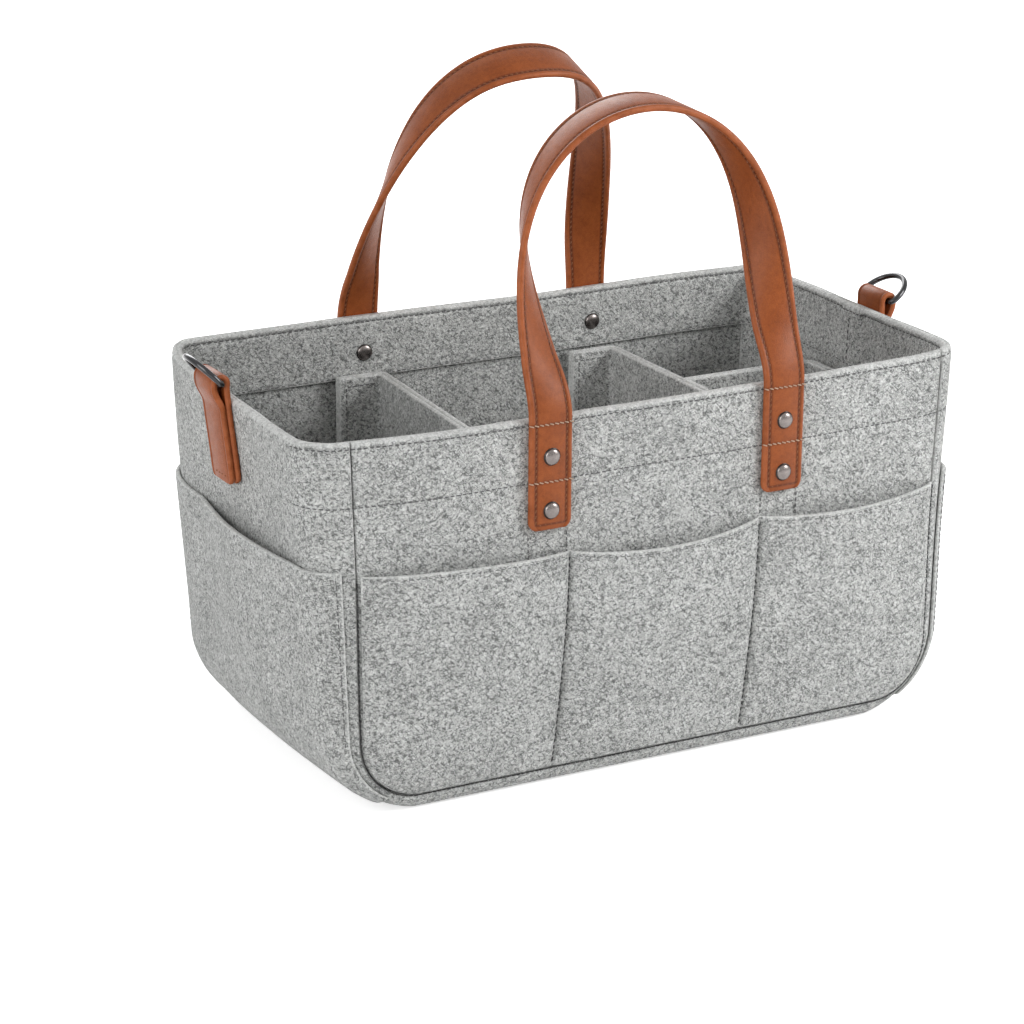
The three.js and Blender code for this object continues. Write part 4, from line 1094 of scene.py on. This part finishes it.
def handle(name, side, arch, nodes):
    straps = STRAPS[side]
    hinge = side * HINGE_Y
    low = HEIGHT - DROPS[side][1] - RIVET_EDGE
    seams = []
    lift = 0.9 if side == FRONT else 0.0  # from the felt's rows up to the rows across the strap
    for x in straps:
        spots = [np.array([x, side * DEPTH / 2, HEIGHT - row]) for row in (RIM_ROW, LOW_ROW)]
        seams.append([float(drift(spot)[2]) + lift for spot in spots])
    line, across, through, count = strap_line(straps, arch, hinge, low, [low + STRAP_ROW, *seams[0]])
    place = lengths(line)
    half = STRAP_WIDTH / 2
    section, crease, wear = strap_section(half, STRAP / 2, half - STRAP_ROW)
    scale = end_scale(place, place[-1], half)
    height = line[:, 2]
    # crease paints shade into the stitch grooves, along each anchor's lower row and where the felt's rows
    # press the strap
    crease = ease(height, low + STRAP_ROW - 0.6, 0.6)[:, None] * crease[None]
    anchors = np.minimum(np.arange(len(line)), np.arange(len(line))[::-1]) < count
    between = np.abs(section[:, 0]) < half - STRAP_ROW + 0.5
    end_row = anchors * bell(height - low - STRAP_ROW, 0.6)
    crease = np.maximum(crease, between[None] * end_row[:, None])
    for k, x in enumerate(straps):
        own = anchors * (np.abs(line[:, 0] - x) < 1)
        for z in seams[k]:
            pressed = own * bell(height - z, 0.8)
            crease = np.maximum(crease, 0.6 * pressed[:, None])
            scale[:, 1] *= 1 - 0.13 * pressed
    verts, faces = sweep(line, across, through, section, scale=scale)
    wear = np.tile(wear, len(line))
    piece = mesh_piece(name, verts, faces, LEATHER_TAN, crease=crease.ravel(), wear=wear)
    kept = (place > STRAP_ROW) & (place < place[-1] - STRAP_ROW)
    rows, seam_rows = [], []
    for face in (-1, 1):
        for way in (-1, 1):
            out = across * way * (half - STRAP_ROW) + through * face * (STRAP / 2 - 0.42)
            rows.append(((line + out)[kept], (through * face)[kept]))
        y = hinge + face * (STRAP / 2 - 0.3)
        for x in straps:
            rows.append(across_row(x, y, low + STRAP_ROW, face, half - STRAP_ROW - 0.8))
    for k, x in enumerate(straps):
        for z in seams[k]:
            seam_rows.append(across_row(x, side * (HINGE_Y + STRAP / 2 - 0.1), z, side, half + 0.6))
    brown = stitches(rows, 0.32, STRAP_STITCH, PITCH - STRAP_STITCH, 0.7)
    thread = mesh_piece(name + "_stitches", *brown, THREAD_BROWN)
    pale = stitches(seam_rows, 0.33, 2.6, 0.1, 0.9)
    cream = mesh_piece(name + "_cross_stitches", *pale, THREAD_CREAM)
    for made in (piece, thread):
        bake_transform(made)
    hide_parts(*nodes)
    placed(cream, "box", "leather")


# Rivets

LATHE_STEPS = 36


def lathe(profile):
    """Turns (radius, height) points about the height axis, which becomes -Y."""
    angles = np.arange(LATHE_STEPS) * 2 * math.pi / LATHE_STEPS
    cos, sin = np.cos(angles), np.sin(angles)
    verts = [np.stack([r * cos, np.full(LATHE_STEPS, -h), r * sin], 1) for r, h in profile]
    return np.concatenate(verts), tube_faces(len(profile), LATHE_STEPS)


def cap_profile(radius, height):
    """A dome on a low flange, with a neck under it."""
    dome, neck = radius - 0.45, radius - 0.7
    profile = [
        (neck - 1, -0.5), (neck, -0.5), (neck, 0.08), (radius - 0.1, 0.1),
        (radius, 0.25), (radius - 0.12, 0.42), (dome - 0.12, 0.45),
    ]
    for k in range(12):
        angle = k / 11 * QUARTER * 0.97
        profile.append((dome * math.cos(angle), 0.75 + (height - 0.75) * math.sin(angle)))
    return profile


def rivets():
    for side, prefix in ((FRONT, "front"), (BACK, "rear")):
        for x, end in zip(STRAPS[side], ("left", "right")):
            for drop, level in zip(DROPS[side], ("upper", "lower")):
                lining = FELT + GAP if level == "upper" else 0.0
                for kind, face, radius, height, way in (
                    ("cap", HINGE_Y + STRAP / 2 + GAP, RIVET_RADIUS - 0.35, 2.4, 1),
                    ("back", DEPTH / 2 - FELT - GAP - lining, INNER_RADIUS, 2.0, -1),
                ):
                    profile = cap_profile(radius, height)
                    verts, faces = lathe(profile)
                    # the flange and neck under each dome get a painted shadow ring
                    low = np.repeat([float(h < 0.9) for _, h in profile], LATHE_STEPS)
                    verts = (verts + (0, 0.25, 0)) * (1, way, 1) - (0, face, 0)
                    verts = turned_back(verts) if side == BACK else verts
                    verts = verts + (x, 0, HEIGHT - drop)
                    node = f"{prefix}_{end}_{level}_rivet_{kind}"
                    piece = mesh_piece("dome_" + node, verts, faces, NICKEL_DARK, crease=low)
                    placed(piece, "box", "rivet_metal", node)


# Tabs and rings

def bar_place(end):
    return end_at(HEIGHT, end) + end * (GAP + TAB + LOOP), HEIGHT + BAR_RISE[end]


def tab_path(end):
    """Middle line of the tab's leather in X (out from the middle) and Z: inside up, over, outside down."""
    low = HEIGHT - TAB_DROP
    bar, bar_z = bar_place(end)
    bar = abs(bar)
    wall = lambda z: abs(end_at(z, end)) + GAP
    half = TAB / 2
    radius = LOOP + half
    inner = [(wall(z) + half, z) for z in np.linspace(low, bar_z - 3, 22)]
    turns = np.linspace(0.1, math.pi - 0.05, 18)
    over = [(bar - radius * math.cos(a), bar_z + radius * math.sin(a)) for a in turns]
    down = []
    for z in np.linspace(bar_z - 1.5, bar_z - MERGE_DROP, 10)[:-1]:
        share = float(smooth((bar_z - 1.5 - z) / (MERGE_DROP - 1.5)))
        down.append((mix(bar + radius, wall(z) + 3 * half + 0.08, share), z))
    down += [(wall(z) + 3 * half + 0.08, z) for z in np.linspace(bar_z - MERGE_DROP, low, 18)]
    return np.array(inner + over + down)


def tab_lean(z, end):
    """The left tab hangs a little towards the front below its ring."""
    return -TAB_LEAN[end] * smooth((HEIGHT - z) / TAB_DROP)


def tab(name, node, end):
    path = tab_path(end)
    line = np.stack([end * path[:, 0], np.full(len(path), TAB_Y[end]), path[:, 1]], 1)
    through = np.cross(unit(np.gradient(line, axis=0)), np.array([0.0, 1.0, 0.0]))
    place = lengths(line)
    total, half = place[-1], STRAP_WIDTH / 2
    # finer steps at both ends, so that the corners come out round
    fine = np.unique(np.concatenate([place, np.linspace(0, 6, 12), total - np.linspace(0, 6, 12)]))
    line, through = read_off(fine, place, line), unit(read_off(fine, place, through))
    across = np.tile([0.0, 1.0, 0.0], (len(line), 1))
    section, crease, wear = strap_section(half, TAB / 2, half - TAB_ROW)
    shallow = section * (1, 0.96)
    verts, faces = sweep(line, across, through, shallow, scale=end_scale(fine, total, half))
    verts[:, 1] += tab_lean(verts[:, 2], end)
    # the tab's grooves get a weaker painted shade
    crease, wear = np.tile(crease * 0.2, len(line)), np.tile(wear, len(line))
    piece = mesh_piece(name, verts, faces, LEATHER_TAN, crease=crease, wear=wear)
    placed(piece, "box", "leather", node)
    low = HEIGHT - TAB_DROP
    face = lambda z: end * (abs(end_at(z, end)) + GAP + 2 * TAB - 0.05)
    rows = []
    for z, spots in ((low + 4.2, (-6.0, -2.2, 1.2, 4.6)), (low + 43.0, (-7.0,)), (low + 40.5, (1.5,))):
        for y in spots:
            ys = TAB_Y[end] + y + np.array([-0.6, 0.6]) + tab_lean(z, end)
            rows.append(row_of(face(z), ys, z, (end, 0, 0)))
    thread = mesh_piece(name + "_stitches", *stitches(rows, 0.38, 1.2, 0.0), THREAD_BROWN)
    placed(thread, "box", "leather")


def ring(name, node, end, body):
    half = STRAP_WIDTH / 2 + RING_PLAY + WIRE
    bends = np.linspace(0, QUARTER, 7)[1:-1]
    bow = np.linspace(QUARTER, -QUARTER, 48)
    deep = RING_REACH - RING_BEND
    flat = [(0.0, y) for y in np.linspace(-half + RING_BEND, half - RING_BEND, 16)]
    flat += [(RING_BEND * (1 - math.cos(a)), half - RING_BEND * (1 - math.sin(a))) for a in bends]
    flat += [(RING_BEND + deep * math.cos(a), half * math.sin(a)) for a in bow]
    flat += [(RING_BEND * (1 - math.sin(a)), -half + RING_BEND * (1 - math.cos(a))) for a in bends]
    flat = np.array(flat)
    tilt = math.radians(RING_REST[end])
    line = np.stack([end * flat[:, 0] * math.cos(tilt), end * flat[:, 1], flat[:, 0] * math.sin(tilt)], 1)
    normal = np.array([-math.sin(tilt) * end, 0, math.cos(tilt)])
    side = unit(np.cross(unit(np.roll(line, -1, 0) - np.roll(line, 1, 0)), normal))
    turns = [2 * math.pi * k / 18 for k in range(18)]
    section = [(WIRE * math.cos(a), WIRE * math.sin(a)) for a in turns]
    verts, faces = sweep(line, side, np.tile(normal, (len(line), 1)), section, closed=True)
    bar, bar_z = bar_place(end)
    verts = verts + np.array([bar, TAB_Y[end], bar_z])
    piece = mesh_piece(name, verts, faces, NICKEL_BLACK, crease=np.zeros(len(verts)))
    placed(piece, body, "ring_metal", node)


gusset()
panel("felt_front_panel", "front_panel", FRONT)
panel("felt_back_panel", "back_panel", BACK)
pocket("felt_front_pocket", "front_pocket", FRONT)
pocket("felt_back_pocket", "back_pocket", BACK)
facing()
side_pocket("felt_left_side_pocket", "left_side_pocket", LEFT)
side_pocket("felt_right_side_pocket", "right_side_pocket", RIGHT)
liner()
# Each sewn divider: its name, its wall at the front and back, how its flanges turn, and its top
SEWN_DIVIDERS = (
    ("left", LEFT_WALL, (1, -1), HEIGHT - DIVIDER_DROP[LEFT]),
    ("right", RIGHT_WALL, (-1, -1), HEIGHT - DIVIDER_DROP[RIGHT]),
)
for word, wall, turns, top in SEWN_DIVIDERS:
    divider(f"felt_{word}_divider", word + "_divider", divider_points(wall, turns), top)
low_top = HEIGHT - DIVIDER_DROP[RIGHT] - CROSS_DROP
divider("felt_cross_divider", "cross_divider", cross_points(), low_top, "divider_insert", cross_shape)
for side, word, arch in ((FRONT, "front", FRONT_ARCH), (BACK, "rear", REAR_ARCH)):
    nodes = [word + end for end in ("_handle", "_left_anchor", "_right_anchor")]
    handle(f"leather_{word}_strap", side, arch, nodes)
rivets()
tab("leather_left_tab", "left_tab", LEFT)
tab("leather_right_tab", "right_tab", RIGHT)
ring("wire_left_ring", "left_d_ring", LEFT, "left_ring")
ring("wire_right_ring", "right_d_ring", RIGHT, "right_ring")

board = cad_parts["base_board"]
board.data.materials.clear()
board.data.materials.append(BOARD)


# Stitch rows in the felt

def stand_off(points, way):
    """A row of points with normals along X and Y that stand off its line to one side."""
    along = unit(np.gradient(points, axis=0))
    return unit(np.stack([along[:, 1], -along[:, 0], np.zeros(len(points))], 1)) * way


def rim_rows(row):
    """A row round the rim, outside and inside. On the outside of the ends it sinks into the felt."""
    z = HEIGHT - row
    pressed = float(draw_in(z))
    plans = [facing_plan(z, inset) for inset in (0.0, 2 * FELT + GAP)]
    outside, inside = (np.concatenate([plan, plan[:1]]) for plan in plans)
    outward, inward = stand_off(outside, 1), stand_off(inside, -1)
    beside = on_end(outside[:, 1])
    lap = (inside[:, 0] > 0) * (inside[:, 1] > OVERLAP[0]) * (inside[:, 1] < OVERLAP[1])
    return [
        (outside - outward * (mix(0.55, pressed, beside) - 0.05)[:, None], outward),
        (inside - inward * (pressed - 0.05 - LAP * lap)[:, None], inward),
    ]


def lap_row():
    """Closes the facing's ends where they lie on each other."""
    zs = np.linspace(HEIGHT - 6, HEIGHT - FACING_HEIGHT + 3, 8)
    xs = [end_at(z, RIGHT) - 2 * FELT - GAP - LAP - 0.05 for z in zs]
    return row_of(xs, mix(*OVERLAP, 0.5), zs, (-1, 0, 0))


def flange_rows():
    """Below the straps, the divider flanges are sewn through the panels."""
    rows = []
    for side in (FRONT, BACK):
        for strap in STRAPS[side]:
            for offset in (1 - STRAP_WIDTH / 2, STRAP_WIDTH / 2 - 1):
                zs = np.linspace(POCKET_SEAM_TOP - 8, HEIGHT - DROPS[side][1] - RIVET_EDGE - 1, 6)
                rows.append(row_of(strap + offset, side * (DEPTH / 2 - 0.1), zs, (0, side, 0)))
    return rows


def pocket_row(side, points):
    """A row on the face of the front's pocket or, turned half round, on the back's."""
    return facing_side(side, *row_of(*np.array(points).T, (0, -1, 0)))


def bay_rows(side):
    """The seams between a pocket's bays."""
    rows = []
    for bay in (0, 1):
        points = []
        for z in np.linspace(SEAM_LIFT + 3, POCKET_SEAM_TOP - 1.0, 40):
            x = bay_seams(z)[bay]
            share = (z - SEAM_LIFT) / (POCKET_SEAM_TOP - SEAM_LIFT)
            points.append((x, -pocket_face(x, z, bay, share, FELT) - 0.05, z))
        rows.append(pocket_row(side, points))
    return rows


def hem_rows(side):
    """A fine row under the pocket's top edge, in each bay."""
    rows = []
    low = bay_edges(SEAM_LIFT)
    for bay in range(3):
        points = []
        for share in np.linspace(0.03, 0.97, 40):
            x, top = pocket_top(mix(low[bay], low[bay + 1], share), bay)
            z = top - HEM_ROW
            points.append((x, -pocket_face(x, z, bay, 1.0, FELT) - 0.05, z))
        rows.append(pocket_row(side, points))
    return rows


def seam_rows(side):
    """The long seam round a pocket: down one end, along the bottom and up the other end."""
    radius = SEAM_RADIUS + SEAM_THREAD_OUT
    heights = np.linspace(POCKET_TOPS[-1] - 2, CORNER_START, 30)
    upright = [(float(seam_at(z)) + SEAM_THREAD_OUT, z) for z in heights]
    turns = np.linspace(0, QUARTER, 18)[1:]
    corner = [(FLAT_X + radius * math.cos(a), CORNER_START - radius * math.sin(a)) for a in turns]
    right = np.array(upright + corner)
    left = right[::-1] * (-1, 1)
    return pocket_row(side, [(x, -DEPTH / 2 - 0.15, z) for x, z in np.concatenate([right, left])])


def side_pocket_rows(end):
    """A row along each upright edge of a side pocket."""
    rows = []
    bend = math.radians(SIDE_POCKET_BEND[end] + 7.5)
    heights = np.linspace(CORNER_START, SIDE_POCKET_TOP - 3, 40)
    stations = [straight_station(z, end) for z in heights]
    for side in (FRONT, BACK):
        points = np.array([across_point(s, bend, side, GAP + FELT - 0.4) for s in stations])
        rows.append(row_of(*points.T, (end * math.sin(bend), side * math.cos(bend), 0)))
    return rows


def divider_rows():
    """Stitches of the divider flanges, along their tops and their free edges."""
    rows = []
    for _, wall, turns, top in SEWN_DIVIDERS:
        for x, turn, side in zip(wall, turns, (FRONT, BACK)):
            far = x + turn * FLANGE
            y = side * (DIVIDER_REACH - DIVIDER / 2 + 0.05)
            xs = np.linspace(x + turn * 5, far - turn * 4, 8)
            rows.append(row_of(xs, y, top - 5, (0, -side, 0)))
            rows.append(row_of(far - turn * 4, y, np.linspace(30, top - 5, 8), (0, -side, 0)))
    return rows


def thread_piece(name, rows, radius=0.34, gap=0.9, material=THREAD_GREY_SHADED):
    verts, faces = stitches(rows, radius, 2.4, gap)
    placed(mesh_piece(name, drift(verts), faces, material), "box", "felt")


thread_piece("stitches_rim", rim_rows(RIM_ROW) + [lap_row()])
thread_piece("stitches_facing", rim_rows(LOW_ROW), 0.3)
thread_piece("stitches_body", flange_rows())
thread_piece("stitches_bays", bay_rows(FRONT) + bay_rows(BACK), 0.36, 0.9, THREAD_DARK_SHADOW)
thread_piece("stitches_hems", hem_rows(FRONT) + hem_rows(BACK), 0.2)
# the near-continuous dark row along each pocket seam is a real topstitch that also paints the seam's
# shadow line
thread_piece("stitches_seams", [seam_rows(FRONT), seam_rows(BACK)], 0.3, 0.25, THREAD_DARK_SHADOW)
thread_piece("stitches_left_pocket", side_pocket_rows(LEFT), 0.24)
thread_piece("stitches_right_pocket", side_pocket_rows(RIGHT), 0.24)
thread_piece("stitches_dividers", divider_rows())


# Floor, light and camera

FLOOR_GLOW = 0.6  # how much of the floor's white is glow near the object
IMAGE_WIDTH, SENSOR = 1024, 36
FOCAL_PIXELS = 3306.5
AZIMUTH, ELEVATION, ROLL = -28.337, 18.606, 0.3835  # degrees
AIM, DISTANCE = (-0.030679, 0, 0.113252), 1.758581  # metres


def seen_or_mirrored(tree):
    """1 for rays from the camera and in reflections, which show the white background."""
    path = tree.nodes.new("ShaderNodeLightPath")
    total = path.outputs["Is Camera Ray"]
    for key in ("Is Glossy Ray", "Is Transmission Ray"):
        both = tree.nodes.new("ShaderNodeMath")
        both.operation = "MAXIMUM"
        tree.links.new(total, both.inputs[0])
        tree.links.new(path.outputs[key], both.inputs[1])
        total = both.outputs["Value"]
    return total


def floor():
    mesh = bpy.data.meshes.new("floor")
    size = 9.0
    corners = [(-size, -size, 0), (size, -size, 0), (size, size, 0), (-size, size, 0)]
    mesh.from_pydata(corners, [], [(0, 1, 2, 3)])
    plane = new_object("floor", mesh)
    m = Maker("floor")
    m.surface(Base_Color=m.patches(3, 2, 0.5, (0.3, 0.94), (0.7, 0.96)), Roughness=0.9)
    glow = m.node("ShaderNodeEmission")
    # the glow grows away from the object, where the lamps reach less
    ring = m.node("ShaderNodeVectorMath", operation="LENGTH")
    m.link(m.place, ring.inputs[0])
    far = m.node("ShaderNodeMapRange")
    m.fill(far, From_Min=0.4, From_Max=3.0, To_Min=FLOOR_GLOW, To_Max=1.0, Value=ring.outputs["Value"])
    shown = m.math("MULTIPLY", seen_or_mirrored(m.tree), far.outputs["Result"])
    m.link(shown, glow.inputs["Strength"])
    both = m.node("ShaderNodeAddShader")
    m.link(m.shader.outputs["BSDF"], both.inputs[0])
    m.link(glow.outputs["Emission"], both.inputs[1])
    m.link(both.outputs["Shader"], m.tree.nodes["Material Output"].inputs["Surface"])
    mesh.materials.append(m.material)


LAMPS_AIM = Vector((0, 0, 0.1))


def area_light(name, place, size, power):
    """A square lamp that points at the object."""
    data = bpy.data.lights.new(name, "AREA")
    data.shape = "RECTANGLE"
    data.size = data.size_y = size
    data.energy = power
    lamp = new_object(name, data)
    lamp.location = place
    lamp.rotation_euler = (LAMPS_AIM - Vector(place)).to_track_quat("-Z", "Y").to_euler()


def world_light(strength):
    """Even light all round, brighter from above, in front of a white background."""
    world = bpy.data.worlds.new("studio")
    bpy.context.scene.world = world
    world.use_nodes = True
    tree = world.node_tree
    background = tree.nodes["Background"]
    place = tree.nodes.new("ShaderNodeTexCoord")
    parts = tree.nodes.new("ShaderNodeSeparateXYZ")
    tree.links.new(place.outputs["Generated"], parts.inputs["Vector"])
    height = tree.nodes.new("ShaderNodeMapRange")
    height.inputs["From Min"].default_value = -0.2
    height.inputs["To Min"].default_value = strength * 0.55
    height.inputs["To Max"].default_value = strength * 1.4
    tree.links.new(parts.outputs["Z"], height.inputs["Value"])
    blend = tree.nodes.new("ShaderNodeMix")
    tree.links.new(seen_or_mirrored(tree), blend.inputs[0])
    tree.links.new(height.outputs["Result"], blend.inputs[2])
    blend.inputs[3].default_value = 1.0
    tree.links.new(blend.outputs[0], background.inputs["Strength"])
    background.inputs["Color"].default_value = (1, 1, 1, 1)


def camera():
    az, el, roll = (math.radians(a) for a in (AZIMUTH, ELEVATION, ROLL))
    back = Vector((math.sin(az) * math.cos(el), -math.cos(az) * math.cos(el), math.sin(el)))
    right = Vector((0, 0, 1)).cross(back).normalized()
    up = back.cross(right)
    image_right = math.cos(roll) * right + math.sin(roll) * up
    image_up = math.cos(roll) * up - math.sin(roll) * right
    place = Vector(AIM) + DISTANCE * back
    data = bpy.data.cameras.new("camera")
    data.sensor_width = SENSOR
    data.lens = FOCAL_PIXELS / IMAGE_WIDTH * SENSOR
    data.clip_start, data.clip_end = 0.05, 50
    cam = new_object("camera", data)
    cam.matrix_world = Matrix((
        (image_right.x, image_up.x, back.x, place.x),
        (image_right.y, image_up.y, back.y, place.y),
        (image_right.z, image_up.z, back.z, place.z),
        (0, 0, 0, 1),
    ))
    bpy.context.scene.camera = cam


floor()
area_light("key", (1.0, -0.9, 0.9), 0.6, 13.5)
area_light("near", (0.62, -0.62, 0.42), 0.35, 0.9)
area_light("fill", (-1.9, -0.9, 1.0), 1.4, 27)
area_light("back", (0.4, 1.9, 1.4), 1.4, 30)
world_light(0.2)
camera()

bpy.context.scene.view_settings.view_transform = "Standard"
